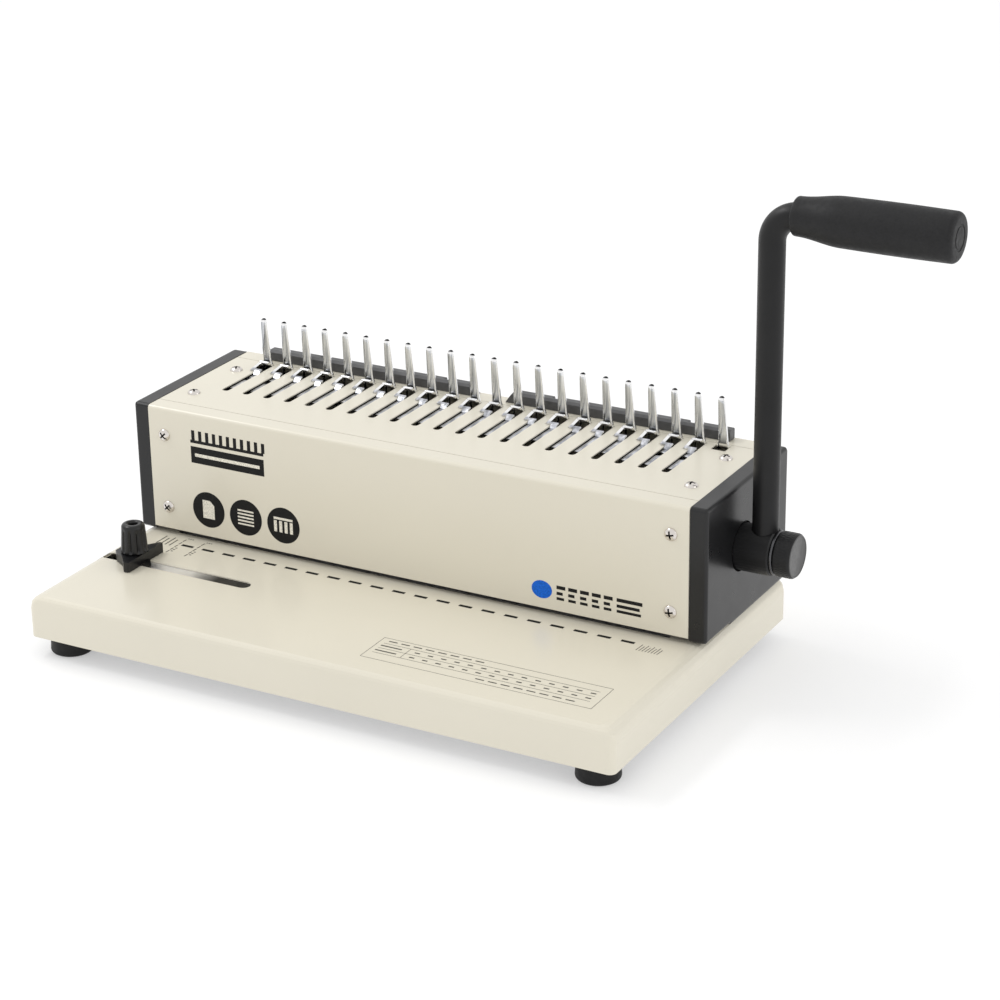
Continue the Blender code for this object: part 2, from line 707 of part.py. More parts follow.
def build_hook_slider():
    """The moving plate under the slots, its hooks, and the two racks that drive it."""
    slider = box("hook_slider", (-SLIDER_HALF, SLIDER_FRONT, SLIDER_LOW),
                 (SLIDER_HALF, SLIDER_BACK, SLIDER_HIGH), CHROME)
    bm = bmesh.new()
    for ring, back in SLIDER_NOTCHES:
        x = tine_x(ring) + SLOT_OFFSET
        add_box(bm, (x - 3.6, SLIDER_FRONT - 1, SLIDER_LOW - 1), (x + 3.6, back, SLIDER_HIGH + 1))
    for ring in SLIDER_HOLES:
        add_cylinder(bm, "z", (tine_x(ring) + 1.9, 77.0), 2.8, SLIDER_LOW - 1, SLIDER_HIGH + 1, 12)
    cut(slider, helper("slider_hole_cutter", bm))
    bm = bmesh.new()
    for i in range(RINGS):
        add_hook(bm, tine_x(i))
    join(slider, helper("hook_legs", bm))
    bm = bmesh.new()
    for i in range(RINGS):
        add_prism(bm, hook_bar_outline(tine_x(i)), "y", 96.5, 97.5)
    join(slider, helper("hook_bars", bm))
    pitch_line = LEVER_Z + SECTOR_MODULE * SECTOR_TEETH / 2
    teeth = rack_teeth(SECTOR_MODULE, LEVER_Y, -2, 6)
    outline = [(y, pitch_line - height) for y, height in teeth]
    top = (SLIDER_LOW + SLIDER_HIGH) / 2
    outline += [(92.0, 104.5), (SLIDER_BACK - 0.4, top), (61.0, top), (50.0, 106.0), (50.0, 103.5)]
    bm = bmesh.new()
    for side in (-1, 1):
        add_prism(bm, outline, "x", side * 143.8, side * 148.2)
    join(slider, helper("slider_racks", bm))


def build_slide_rail(name, side):
    bm = bmesh.new()
    ledge = SLIDER_LOW - 0.4
    lip = SLIDER_HIGH - 0.1
    wall = SLIDER_HALF + 0.5
    outline = [(side * 149.4, ledge - 1.9), (side * 154.2, ledge - 1.9), (side * 154.2, lip),
               (side * wall, lip), (side * wall, ledge), (side * 149.4, ledge)]
    add_prism(bm, outline, "y", 22.0, 95.0)
    finish(name, bm, STEEL)


def build_sector(name, side):
    """A part gear that drives the hook slider's rack; its teeth cover only the lever's swing."""
    centre = (LEVER_Y, LEVER_Z)
    step = 2 * math.pi / SECTOR_TEETH
    points = []
    for i in range(-8, 2):
        points += gear_tooth(SECTOR_MODULE, SECTOR_TEETH, math.pi / 2 + i * step)
    outline = polar(points, centre)
    outline += arc(centre, 10.5, 125.0, 330.0, 14)
    bm = bmesh.new()
    add_prism(bm, outline, "x", side * 143.9, side * 148.1)
    sector = finish(name, bm, STEEL, (side * 146.0, *centre))
    ends = sorted((side * 142.0, side * 150.0))
    cut(sector, cylinder_cutter(name + "_bore_cutter", "x", centre, SHAFT_RADIUS + GAP, *ends, 32))


def build_punch_pinion(name, side):
    centre = (LEVER_Y, LEVER_Z)
    points = []
    for i in range(PINION_TEETH):
        points += gear_tooth(PINION_MODULE, PINION_TEETH, math.pi + i * 2 * math.pi / PINION_TEETH)
    bm = bmesh.new()
    add_prism(bm, polar(points, centre), "x", side * 151.0, side * 155.0)
    pinion = finish(name, bm, STEEL, (side * 153.0, *centre))
    ends = sorted((side * 149.0, side * 157.0))
    cut(pinion, cylinder_cutter(name + "_bore_cutter", "x", centre, SHAFT_RADIUS + GAP, *ends, 32))


# ---------------------------------------------------------------- punch
def build_punch_bar():
    bar = box("punch_bar", (-151.0, 16.0, PUNCH_BAR_LOW), (151.0, 26.0, PUNCH_BAR_HIGH), STEEL)
    bm = bmesh.new()
    for i in range(RINGS):
        x = ring_x(i)
        add_box(bm, (x - PUNCH_SIZE[0] / 2, PUNCH_Y - PUNCH_SIZE[1] / 2, DECK + THROAT + 0.9),
                (x + PUNCH_SIZE[0] / 2, PUNCH_Y + PUNCH_SIZE[1] / 2, PUNCH_BAR_LOW + 2))
    join(bar, helper("punches", bm))
    pitch_line = LEVER_Y - PINION_MODULE * PINION_TEETH / 2
    teeth = rack_teeth(PINION_MODULE, LEVER_Z, -2, 5)
    outline = [(16.5, PUNCH_BAR_LOW + 0.1), (25.5, PUNCH_BAR_LOW + 0.1), (42.5, 71.5)]
    outline += [(pitch_line + height, z) for z, height in teeth]
    outline += [(42.5, 99.0), (16.5, PUNCH_BAR_HIGH + 2.0)]
    bm = bmesh.new()
    for side in (-1, 1):
        add_prism(bm, outline, "x", side * 150.2, side * 155.6)
    join(bar, helper("punch_racks", bm))


def build_die_block():
    """The C-shaped block whose throat takes the paper and whose two jaws guide the punches."""
    stop = PUNCH_Y + 4.5
    outline = [(DIE_FRONT, DECK - 4.1), (DIE_BACK, DECK - 4.1), (DIE_BACK, 52.0), (DIE_FRONT, 52.0),
               (DIE_FRONT, DECK + THROAT + 0.8), (DIE_FRONT + 1.0, DECK + THROAT), (stop, DECK + THROAT),
               (stop, DECK - 0.1), (DIE_FRONT, DECK - 0.1)]
    bm = bmesh.new()
    add_prism(bm, outline, "x", -DIE_HALF, DIE_HALF)
    block = finish("die_block", bm, STEEL)
    bm = bmesh.new()
    for i in range(RINGS):
        x = ring_x(i)
        half_x = PUNCH_SIZE[0] / 2 + GAP
        half_y = PUNCH_SIZE[1] / 2 + GAP
        add_box(bm, (x - half_x, PUNCH_Y - half_y, 30.0), (x + half_x, PUNCH_Y + half_y, 55.0))
    for side in (-1, 1):
        add_cylinder(bm, "z", (side * SPRING_X, 21.0), 5.0, SPRING_SEAT, 55.0, 24)
    cut(block, helper("die_cutter", bm))


def build_return_spring(name, side):
    """A coil with flat ends between the die block and the punch bar."""
    radius = 3.7
    wire = 0.55
    turns = 5
    low = SPRING_SEAT + GAP + wire
    high = PUNCH_BAR_LOW - GAP - wire
    steps = turns * 10
    sides = 5
    bm = bmesh.new()
    rings = []
    for i in range(steps + 1):
        angle = 2 * math.pi * turns * i / steps
        rise = (high - low) / (2 * math.pi * turns)
        centre = Vector((side * SPRING_X + radius * math.cos(angle), 21.0 + radius * math.sin(angle),
                         low + rise * angle))
        out = Vector((math.cos(angle), math.sin(angle), 0.0))
        rings.append([bm.verts.new(centre + out * wire * math.cos(a) + Vector((0, 0, wire * math.sin(a))))
                      for a in (2 * math.pi * j / sides for j in range(sides))])
    for lower, upper in zip(rings, rings[1:]):
        for i in range(sides):
            j = (i + 1) % sides
            bm.faces.new((lower[i], lower[j], upper[j], upper[i]))
    bm.faces.new(rings[0])
    bm.faces.new(rings[-1])
    finish(name, bm, STEEL)


# ---------------------------------------------------------------- lever
def build_shaft_and_bushes():
    centre = (LEVER_Y, LEVER_Z)
    profile = [(-174.5, 0.0), (-174.5, SHAFT_RADIUS - 0.6), (-173.9, SHAFT_RADIUS),
               (195.4, SHAFT_RADIUS), (196.0, SHAFT_RADIUS - 0.6), (196.0, 0.0)]
    turned("main_shaft", "x", centre, profile, STEEL, 28, origin=(0.0, *centre))
    for side, hand in ((-1, "left"), (1, "right")):
        bush = [(side * 166.4, SHAFT_RADIUS + GAP), (side * 166.4, BUSH_RADIUS), (side * 170.3, BUSH_RADIUS),
                (side * 170.3, 11.5), (side * 172.4, 11.5), (side * 172.4, SHAFT_RADIUS + GAP)]
        turned("shaft_bush_" + hand, "x", centre, bush, BRASS, 28)


def build_hub():
    centre = (LEVER_Y, LEVER_Z)
    profile = [(174.8, SHAFT_RADIUS + GAP), (174.8, HUB_RADIUS), (HUB_END - 0.8, HUB_RADIUS),
               (HUB_END, HUB_RADIUS - 0.8), (HUB_END, SHAFT_RADIUS + GAP)]
    hub = turned("handle_hub", "x", centre, profile, BLACK_METAL, 36, origin=(LEVER_X, *centre))
    cut(hub, cylinder_cutter("arm_socket_cutter", "z", (LEVER_X, LEVER_Y), ARM_RADIUS + GAP,
                             LEVER_Z + 6.6, LEVER_Z + 16, 24))


def build_arm():
    """A round rod, upright from the hub and bent to run along X inside the grip."""
    sides = 24
    stations = [(Vector((LEVER_X, LEVER_Y, LEVER_Z + 7.0)), 0.0)]
    bend_centre = Vector((LEVER_X + ARM_BEND, LEVER_Y, GRIP_Z - ARM_BEND))
    for i in range(7):
        turn = math.radians(90.0 * i / 6)
        offset = Vector((-math.cos(turn), 0.0, math.sin(turn))) * ARM_BEND
        stations.append((bend_centre + offset, turn))
    stations.append((Vector((GRIP_END - 14.0, LEVER_Y, GRIP_Z)), math.pi / 2))
    bm = bmesh.new()
    rings = []
    for centre, turn in stations:
        across = Vector((math.cos(turn), 0.0, -math.sin(turn)))
        turns = [2 * math.pi * j / sides for j in range(sides)]
        offsets = [across * math.cos(a) + Vector((0, math.sin(a), 0)) for a in turns]
        rings.append([bm.verts.new(centre + offset * ARM_RADIUS) for offset in offsets])
    for lower, upper in zip(rings, rings[1:]):
        for i in range(sides):
            j = (i + 1) % sides
            bm.faces.new((lower[i], lower[j], upper[j], upper[i]))
    bm.faces.new(rings[0])
    bm.faces.new(rings[-1])
    finish("handle_arm", bm, BLACK_METAL, (LEVER_X, LEVER_Y, LEVER_Z))


def build_grip():
    neck = 10.4
    body = 13.3
    swell = 26.0
    profile = [(GRIP_END - 13.0, 0.0), (GRIP_END - 13.0, ARM_RADIUS + GAP), (GRIP_START, ARM_RADIUS + GAP),
               (GRIP_START, neck - 0.9), (GRIP_START + 0.9, neck)]
    for i in range(1, 5):
        part = i / 4
        profile.append((GRIP_START + 0.9 + swell * part,
                        neck + (body - neck) * (1 - math.cos(math.pi * part)) / 2))
    profile += arc((GRIP_END - 2.6, body - 2.6), 2.6, 90, 0, 2)
    profile.append((GRIP_END, 0.0))
    turned("handle_grip", "x", (LEVER_Y, GRIP_Z), profile, RUBBER, 32, origin=(GRIP_START, LEVER_Y, GRIP_Z))


def build_lock_knob():
    """A knurled knob on the end of the hub; its stud runs in the hub's bore."""
    centre = (LEVER_Y, LEVER_Z)
    start = HUB_END + 2.0
    end = start + 9.6
    ridges = 30

    def knurl(angle, along):
        return 1.0 + (0.012 if start + 0.5 < along < end - 0.5 else 0.0) * math.cos(ridges * angle)

    profile = [(start - 8.0, 0.0), (start - 8.0, 4.0), (start, 4.0), (start, 11.4), (start + 0.8, 12.2),
               (end - 1.4, 12.2), (end, 10.6), (end, 0.0)]
    turned("lock_knob", "x", centre, profile, BLACK_METAL, 60, knurl, (start, *centre))
    washer = [(HUB_END + 0.3, 4.4), (HUB_END + 0.3, 12.2), (HUB_END + 1.2, 12.2), (HUB_END + 1.7, 11.6),
              (HUB_END + 1.7, 4.4)]
    turned("lock_washer", "x", centre, washer, BLACK_METAL, 36)


# ---------------------------------------------------------------- paper guide
def build_paper_guide():
    low = DECK + 0.3
    high = DECK + 6.2
    fence = -150.4
    outline = [(fence, -46.4), (fence, -13.6), (fence - 1.8, -13.6), (-157.2, -20.6), (-165.6, -26.4),
               (-168.2, -28.6), (-168.2, -35.0), (-166.4, -36.6), (-159.4, -40.8), (fence - 3.4, -47.4),
               (fence - 1.0, -47.4)]
    bm = bmesh.new()
    add_prism(bm, outline, "z", low, high)
    plate = finish("guide_plate", bm, BLACK_PLASTIC)
    half = GUIDE_SLOT_WIDTH / 2 - GAP
    key = [(-161.6, GUIDE_Y - half), (-143.7, GUIDE_Y - half),
           (-150.0, GUIDE_Y + half), (-161.6, GUIDE_Y + half)]
    bm = bmesh.new()
    add_prism(bm, key, "z", DECK - SHEET + TRACK_DEPTH, DECK + 1.3)
    join(plate, helper("guide_key", bm))
    cut(plate, cylinder_cutter("guide_bore_cutter", "z", (GUIDE_X, GUIDE_Y), GUIDE_BORE,
                               DECK - 5, high + 5, 20))

    profile = [(33.0, 0.0), (33.0, 2.4), (DECK + 15.0, 2.4), (DECK + 15.6, 1.8), (DECK + 15.6, 0.0)]
    turned("guide_stud", "z", (GUIDE_X, GUIDE_Y), profile, STEEL, 20)

    bar_top = DECK - SHEET + TRACK_DEPTH - 0.1
    bar = box("guide_clamp_bar", (-163.2, GUIDE_Y - CLAMP_HALF, bar_top - 1.5),
              (-76.0, GUIDE_Y + CLAMP_HALF, bar_top), BRUSHED)
    cut(bar, cylinder_cutter("bar_bore_cutter", "z", (GUIDE_X, GUIDE_Y), GUIDE_BORE, 30, 38, 20))


def build_guide_knob():
    low = DECK + 6.5
    high = DECK + 23.6
    flutes = 12

    def fluting(angle, along):
        fade = 0.045 if low + 0.5 < along < high - 2.5 else 0.0
        return 1.0 - fade * max(0.0, math.cos(flutes * angle)) ** 0.5

    profile = [(low, GUIDE_BORE), (low, 7.8), (low + 0.8, 7.8), (high - 2.6, 6.8),
               (high - 0.8, 6.1), (high, 4.6), (high, GUIDE_BORE)]
    turned("guide_knob", "z", (GUIDE_X, GUIDE_Y), profile, BLACK_PLASTIC, 48, fluting,
           (GUIDE_X, GUIDE_Y, low))


# ---------------------------------------------------------------- build
clear_scene()
ROOT = make_root()
CREAM = make_material("cream_paint", (0.72, 0.68, 0.57), 0.4, 0.0)
BLACK_PLASTIC = make_material("black_plastic", (0.02, 0.02, 0.021), 0.35, 0.0)
BLACK_METAL = make_material("black_metal", (0.025, 0.025, 0.025), 0.45, 0.3)
RUBBER = make_material("black_rubber", (0.02, 0.02, 0.02), 0.7, 0.0)
CHROME = make_material("chrome", (0.8, 0.8, 0.8), 0.12, 1.0)
NICKEL = make_material("nickel", (0.7, 0.68, 0.66), 0.25, 1.0)
STEEL = make_material("steel", (0.5, 0.5, 0.5), 0.4, 1.0)
BRUSHED = make_material("brushed_steel", (0.7, 0.7, 0.72), 0.3, 1.0)
BRASS = make_material("brass", (0.6, 0.45, 0.2), 0.35, 1.0)

build_base_pan()
build_bottom_plate()
build_chip_tray()
build_feet()
build_front_cover()
build_rear_cover()
build_top_plate()
build_end_cap("left_end_cap", -1)
build_end_cap("right_end_cap", 1)
build_side_frame("left_side_frame", -1)
build_side_frame("right_side_frame", 1)
build_screws()
build_comb_rest("comb_rest_left", -1)
build_comb_rest("comb_rest_right", 1)
build_tine_comb()
build_hook_slider()
build_slide_rail("slide_rail_left", -1)
build_slide_rail("slide_rail_right", 1)
build_sector("opener_sector_left", -1)
build_sector("opener_sector_right", 1)
build_punch_pinion("punch_pinion_left", -1)
build_punch_pinion("punch_pinion_right", 1)
build_punch_bar()
build_die_block()
build_return_spring("return_spring_left", -1)
build_return_spring("return_spring_right", 1)
build_shaft_and_bushes()
build_hub()
build_arm()
build_grip()
build_lock_knob()
build_paper_guide()
build_guide_knob()
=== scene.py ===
"""Looks of the comb binding machine: materials, fine surfaces, printed marks, light and camera."""

import json
import math

import bmesh
import bpy
from mathutils import Matrix, Vector


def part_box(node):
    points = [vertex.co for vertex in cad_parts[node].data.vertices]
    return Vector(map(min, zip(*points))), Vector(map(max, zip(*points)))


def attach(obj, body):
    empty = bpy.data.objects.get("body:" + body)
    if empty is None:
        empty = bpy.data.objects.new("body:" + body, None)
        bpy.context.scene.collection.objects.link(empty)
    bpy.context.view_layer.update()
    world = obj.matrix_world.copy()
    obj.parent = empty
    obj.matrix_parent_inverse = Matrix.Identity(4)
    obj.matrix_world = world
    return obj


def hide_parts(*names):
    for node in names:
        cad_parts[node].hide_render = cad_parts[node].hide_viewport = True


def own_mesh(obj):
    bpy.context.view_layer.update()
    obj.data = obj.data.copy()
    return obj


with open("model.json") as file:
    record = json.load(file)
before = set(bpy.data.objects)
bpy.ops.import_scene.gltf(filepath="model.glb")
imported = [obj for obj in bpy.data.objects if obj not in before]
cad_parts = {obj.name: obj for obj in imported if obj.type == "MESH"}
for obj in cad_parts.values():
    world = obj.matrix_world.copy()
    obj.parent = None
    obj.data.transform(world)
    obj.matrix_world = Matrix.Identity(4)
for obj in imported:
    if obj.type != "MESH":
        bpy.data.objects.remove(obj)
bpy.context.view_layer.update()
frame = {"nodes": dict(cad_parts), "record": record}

MM = 0.001
PITCH = 9.0 / 16.0 * 25.4          # comb ring spacing, which every row on the machine follows
RINGS = 21
TINES = RINGS + 1

# Machine coordinates in millimetres: X = 0 in the middle of the comb, Y = 0 on the row of
# printed hole marks, Z up from the table. The frame says where they lie in the world.
PAN_LOW, PAN_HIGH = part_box("base_pan")
ORIGIN = Vector(((PAN_LOW.x + PAN_HIGH.x) / 2, PAN_LOW.y + 98.0 * MM, 0.0))
DECK = PAN_HIGH.z / MM
FRONT = (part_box("front_cover")[0].y - ORIGIN.y) / MM
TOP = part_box("top_plate")[1].z / MM
LEVER_Y = 57.3
LEVER_Z = 78.5
LEVER_X = 196.5
GRIP_Z = LEVER_Z + 188.3
GRIP_START = 209.5
GRIP_END = 297.5
HUB_END = 203.4
GUIDE_X = -157.6
GUIDE_Y = -31.0


def at(x, y, z):
    """A point in machine millimetres, in the world."""
    return ORIGIN + Vector((x, y, z)) * MM


def node_box(name):
    """A CAD node's lowest and highest corners, in machine millimetres."""
    return [(corner - ORIGIN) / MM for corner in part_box(name)]


def ring_x(i):
    return (i - (RINGS - 1) / 2) * PITCH


def tine_x(i):
    return (i - (TINES - 1) / 2) * PITCH


# ---------------------------------------------------------------- materials
class Shader:
    """A Principled material with a few node helpers."""

    def __init__(self, name, colour, roughness, metallic=0.0, specular=0.5):
        self.material = bpy.data.materials.new(name)
        self.material.use_nodes = True
        self.tree = self.material.node_tree
        self.bsdf = self.tree.nodes["Principled BSDF"]
        self.set("Base Color", (*colour, 1.0))
        self.set("Roughness", roughness)
        self.set("Metallic", metallic)
        self.set("Specular IOR Level", specular)
        self.position = self.node("ShaderNodeTexCoord").outputs["Object"]

    def set(self, socket, value):
        self.bsdf.inputs[socket].default_value = value

    def node(self, kind, **settings):
        node = self.tree.nodes.new(kind)
        for key, value in settings.items():
            setattr(node, key, value)
        return node

    def link(self, a, b):
        self.tree.links.new(a, b)

    def stretched(self, scale):
        mapping = self.node("ShaderNodeMapping")
        mapping.inputs["Scale"].default_value = scale
        self.link(self.position, mapping.inputs["Vector"])
        return mapping.outputs["Vector"]

    def noise(self, scale, detail=2.0, stretch=None, roughness=0.5):
        node = self.node("ShaderNodeTexNoise")
        node.inputs["Scale"].default_value = scale
        node.inputs["Detail"].default_value = detail
        node.inputs["Roughness"].default_value = roughness
        self.link(self.stretched(stretch) if stretch else self.position, node.inputs["Vector"])
        return node.outputs["Fac"]

    def spread(self, value, low, high, start=0.3, end=0.7):
        """A value mapped from start..end to low..high."""
        node = self.node("ShaderNodeMapRange")
        for key, number in (("From Min", start), ("From Max", end), ("To Min", low), ("To Max", high)):
            node.inputs[key].default_value = number
        self.link(value, node.inputs["Value"])
        return node.outputs["Result"]

    def split(self, axis):
        """One coordinate of the object position, in metres."""
        node = self.node("ShaderNodeSeparateXYZ")
        self.link(self.position, node.inputs["Vector"])
        return node.outputs[axis]

    def base(self, colour):
        self.link(colour, self.bsdf.inputs["Base Color"])

    def colours(self, value, low, high):
        """Base colour between two colours by a value from 0 to 1."""
        self.base(self.ramp(value, low, high))

    def mix(self, share, first, second):
        """A colour between two, each of them a colour or a node's output."""
        node = self.node("ShaderNodeMix", data_type="RGBA")
        self.link(share, node.inputs["Factor"])
        for socket, colour in (("A", first), ("B", second)):
            if isinstance(colour, tuple):
                node.inputs[socket].default_value = (*colour, 1.0)
            else:
                self.link(colour, node.inputs[socket])
        return node.outputs["Result"]

    def ramp(self, value, low, high):
        ramp = self.node("ShaderNodeValToRGB")
        ramp.color_ramp.elements[0].position = 0.3
        ramp.color_ramp.elements[1].position = 0.7
        ramp.color_ramp.elements[0].color = (*low, 1.0)
        ramp.color_ramp.elements[1].color = (*high, 1.0)
        self.link(value, ramp.inputs["Fac"])
        return ramp.outputs["Color"]

    def rough(self, value, low, high):
        self.link(self.spread(value, low, high), self.bsdf.inputs["Roughness"])

    def bump(self, value, strength, distance):
        node = self.node("ShaderNodeBump")
        node.inputs["Strength"].default_value = strength
        node.inputs["Distance"].default_value = distance
        self.link(value, node.inputs["Height"])
        previous = self.bsdf.inputs["Normal"].links
        if previous:
            self.link(previous[0].from_socket, node.inputs["Normal"])
        self.link(node.outputs["Normal"], self.bsdf.inputs["Normal"])


def scaled(colour, factor):
    return tuple(channel * factor for channel in colour)


CREAM_COLOUR = (0.725, 0.685, 0.575)


def cream_tones(shader):
    return shader.ramp(shader.noise(9.0, 3.0), scaled(CREAM_COLOUR, 0.985), scaled(CREAM_COLOUR, 1.015))


def add_paint_grain(shader):
    shader.rough(shader.noise(420.0, 3.0), 0.21, 0.27)
    shader.bump(shader.noise(900.0, 2.0), 0.03, 0.00006)


def make_cream():
    shader = Shader("cream_powder_paint", CREAM_COLOUR, 0.32)
    shader.base(cream_tones(shader))
    add_paint_grain(shader)
    return shader.material


def make_cream_with_slot_shade():
    """The same paint, with painted shade down the walls of its slots: it darkens from 0.55 mm below the
    sheet's top face and is near-black from 0.72 mm down.
    """
    shader = Shader("cream_paint_with_painted_slot_shade", CREAM_COLOUR, 0.32)
    # painted shade: everything of the sheet more than 0.55 mm below its top face turns near-black
    painted = shader.spread(shader.split(2), 0.0, 1.0, (TOP - 0.72) * MM, (TOP - 0.55) * MM)
    shader.base(shader.mix(painted, (0.035, 0.033, 0.03), cream_tones(shader)))
    add_paint_grain(shader)
    return shader.material


def make_black_plastic():
    colour = (0.0075, 0.0075, 0.0082)
    shader = Shader("moulded_black_plastic", colour, 0.3, specular=0.42)
    shader.colours(shader.noise(60.0, 4.0), scaled(colour, 0.85), scaled(colour, 1.2))
    shader.rough(shader.noise(90.0, 3.0), 0.27, 0.32)
    shader.bump(shader.noise(700.0, 2.0), 0.02, 0.00004)
    return shader.material


def make_black_enamel():
    colour = (0.007, 0.007, 0.0075)
    shader = Shader("satin_black_enamel", colour, 0.4, specular=0.3)
    shader.colours(shader.noise(45.0, 3.0), scaled(colour, 0.85), scaled(colour, 1.25))
    shader.rough(shader.noise(500.0, 3.0), 0.36, 0.46)
    shader.bump(shader.noise(1400.0, 3.0), 0.10, 0.00006)
    return shader.material


def make_rest_plastic():
    colour = (0.07, 0.07, 0.072)
    shader = Shader("grey_black_plastic", colour, 0.42)
    shader.colours(shader.noise(150.0, 4.0), scaled(colour, 0.8), scaled(colour, 1.25))
    shader.rough(shader.noise(600.0, 3.0), 0.36, 0.5)
    return shader.material


def make_recess_shade():
    # painted shade: the cross recess is coloured near-black for the shade inside it
    shader = Shader("screw_recess_painted_shade", (0.05, 0.047, 0.044), 0.6, metallic=1.0)
    shader.rough(shader.noise(700.0, 2.0), 0.5, 0.7)
    return shader.material


def make_gunmetal():
    shader = Shader("gunmetal_washer", (0.10, 0.10, 0.105), 0.3, metallic=1.0)
    shader.rough(shader.noise(400.0, 3.0), 0.24, 0.36)
    return shader.material


def make_satin_face():
    """The turned, brushed end of the lock knob."""
    colour = (0.075, 0.074, 0.074)
    shader = Shader("satin_turned_face", colour, 0.42)
    turning = shader.noise(700.0, 3.0, stretch=(1.0, 1.0, 0.15))
    shader.colours(turning, scaled(colour, 0.85), scaled(colour, 1.15))
    shader.rough(shader.noise(500.0, 3.0), 0.38, 0.48)
    return shader.material


def make_rubber(name, colour, grain):
    shader = Shader(name, colour, 0.55, specular=0.32)
    specks = shader.noise(900.0, 4.0, roughness=0.7)
    shader.colours(specks, scaled(colour, 0.75), scaled(colour, 1.4))
    shader.rough(shader.noise(320.0, 3.0), 0.46, 0.62)
    shader.bump(shader.noise(grain, 4.0, roughness=0.7), 0.15, 0.0001)
    return shader.material


def make_chrome():
    shader = Shader("chrome_plate", (0.80, 0.80, 0.80), 0.10, metallic=1.0)
    shader.rough(shader.noise(120.0, 3.0), 0.05, 0.12)
    shader.bump(shader.noise(140.0, 1.0), 0.3, 0.0004)
    return shader.material


def make_hook_chrome():
    """Plating with soft stains along Y, and a painted highlight: near-white on the raised hooks."""
    shader = Shader("hook_chrome_painted_highlight", (0.7, 0.7, 0.72), 0.18, metallic=1.0)
    stains = shader.noise(420.0, 3.0, stretch=(1.0, 0.3, 1.0))
    plate = shader.ramp(stains, (0.26, 0.27, 0.29), (0.80, 0.81, 0.86))
    # painted highlight: the base colour turns near-white from 1.35 to 1.65 mm above the plate's top
    raised = shader.spread(shader.split(2), 0.0, 1.0, (TOP + 1.35) * MM, (TOP + 1.65) * MM)
    shader.base(shader.mix(raised, plate, (0.97, 0.97, 0.97)))
    shader.rough(shader.noise(160.0, 3.0), 0.10, 0.22)
    shader.bump(shader.noise(120.0, 1.0), 0.4, 0.0006)
    return shader.material


def make_tine_chrome(name, dark, bright, foot_shade):
    """Plating over the tines' vertical polishing marks, with painted shade towards the foot."""
    shader = Shader(name, bright, 0.16, metallic=1.0)
    streaks = shader.noise(700.0, 2.0, stretch=(1.0, 1.0, 0.04))
    # painted shade: the colour darkens from 8.2 mm above the plate's top down to 2.2 mm, and stays dark below
    height = shader.spread(shader.split(2), 0.0, 1.0, (TOP + 2.2) * MM, (TOP + 8.2) * MM)
    shader.base(shader.mix(height, scaled(dark, foot_shade), shader.ramp(streaks, dark, bright)))
    shader.rough(shader.noise(160.0, 3.0), 0.12, 0.24)
    shader.bump(shader.noise(110.0, 1.0, stretch=(1.0, 1.0, 0.6)), 0.25, 0.0005)
    return shader.material


def make_nickel():
    shader = Shader("nickel_plate", (0.72, 0.68, 0.64), 0.2, metallic=1.0)
    shader.rough(shader.noise(600.0, 3.0), 0.15, 0.3)
    shader.bump(shader.noise(900.0, 3.0), 0.08, 0.0001)
    return shader.material


def make_steel():
    shader = Shader("plain_steel", (0.46, 0.46, 0.46), 0.38, metallic=1.0)
    shader.rough(shader.noise(240.0, 4.0), 0.3, 0.48)
    shader.bump(shader.noise(500.0, 3.0, stretch=(0.08, 1.0, 1.0)), 0.15, 0.0001)
    return shader.material


def make_brushed():
    """Brushed along X, with painted shade: the strip darkens to a near-black grey towards its far end."""
    shader = Shader("brushed_steel", (0.74, 0.74, 0.75), 0.3, metallic=1.0)
    bright_until = at(-134.0, 0.0, 0.0).x
    shade_from = at(-88.0, 0.0, 0.0).x
    # painted shade: the base colour falls from bright to near-black between these two points along X
    unshaded_share = shader.spread(shader.split(0), 1.0, 0.0, bright_until, shade_from)
    shader.colours(unshaded_share, (0.07, 0.068, 0.066), (0.95, 0.95, 0.97))
    brushing = shader.noise(2200.0, 3.0, stretch=(0.02, 1.0, 1.0))
    shader.rough(brushing, 0.26, 0.44)
    shader.bump(brushing, 0.25, 0.00008)
    return shader.material


def make_brass():
    shader = Shader("turned_brass", (0.62, 0.46, 0.2), 0.35, metallic=1.0)
    shader.rough(shader.noise(300.0, 3.0), 0.28, 0.42)
    return shader.material


def make_ink(name, colour):
    """Screen-printed ink, slightly uneven where it lies on the paint's texture."""
    shader = Shader(name, colour, 0.6, specular=0.2)
    shader.colours(shader.noise(1600.0, 3.0), scaled(colour, 0.75), scaled(colour, 1.3))
    shader.rough(shader.noise(900.0, 2.0), 0.52, 0.66)
    return shader.material


CREAM = make_cream()
CREAM_WITH_SLOT_SHADE = make_cream_with_slot_shade()
PLASTIC = make_black_plastic()
ENAMEL = make_black_enamel()
GRIP_RUBBER = make_rubber("grip_rubber", (0.009, 0.009, 0.0098), 1300.0)
FOOT_RUBBER = make_rubber("foot_rubber", (0.0045, 0.0045, 0.0045), 900.0)
CHROME = make_chrome()
TINE_CHROME = make_tine_chrome("polished_tine_chrome", (0.36, 0.375, 0.40), (0.78, 0.79, 0.81), 0.3)
# painted highlight: a near-white copy of the tine chrome for the rounded edges
TINE_HIGHLIGHT = make_tine_chrome("tine_chrome_painted_highlight", (0.86, 0.86, 0.86), (0.97, 0.97, 0.97), 0.95)
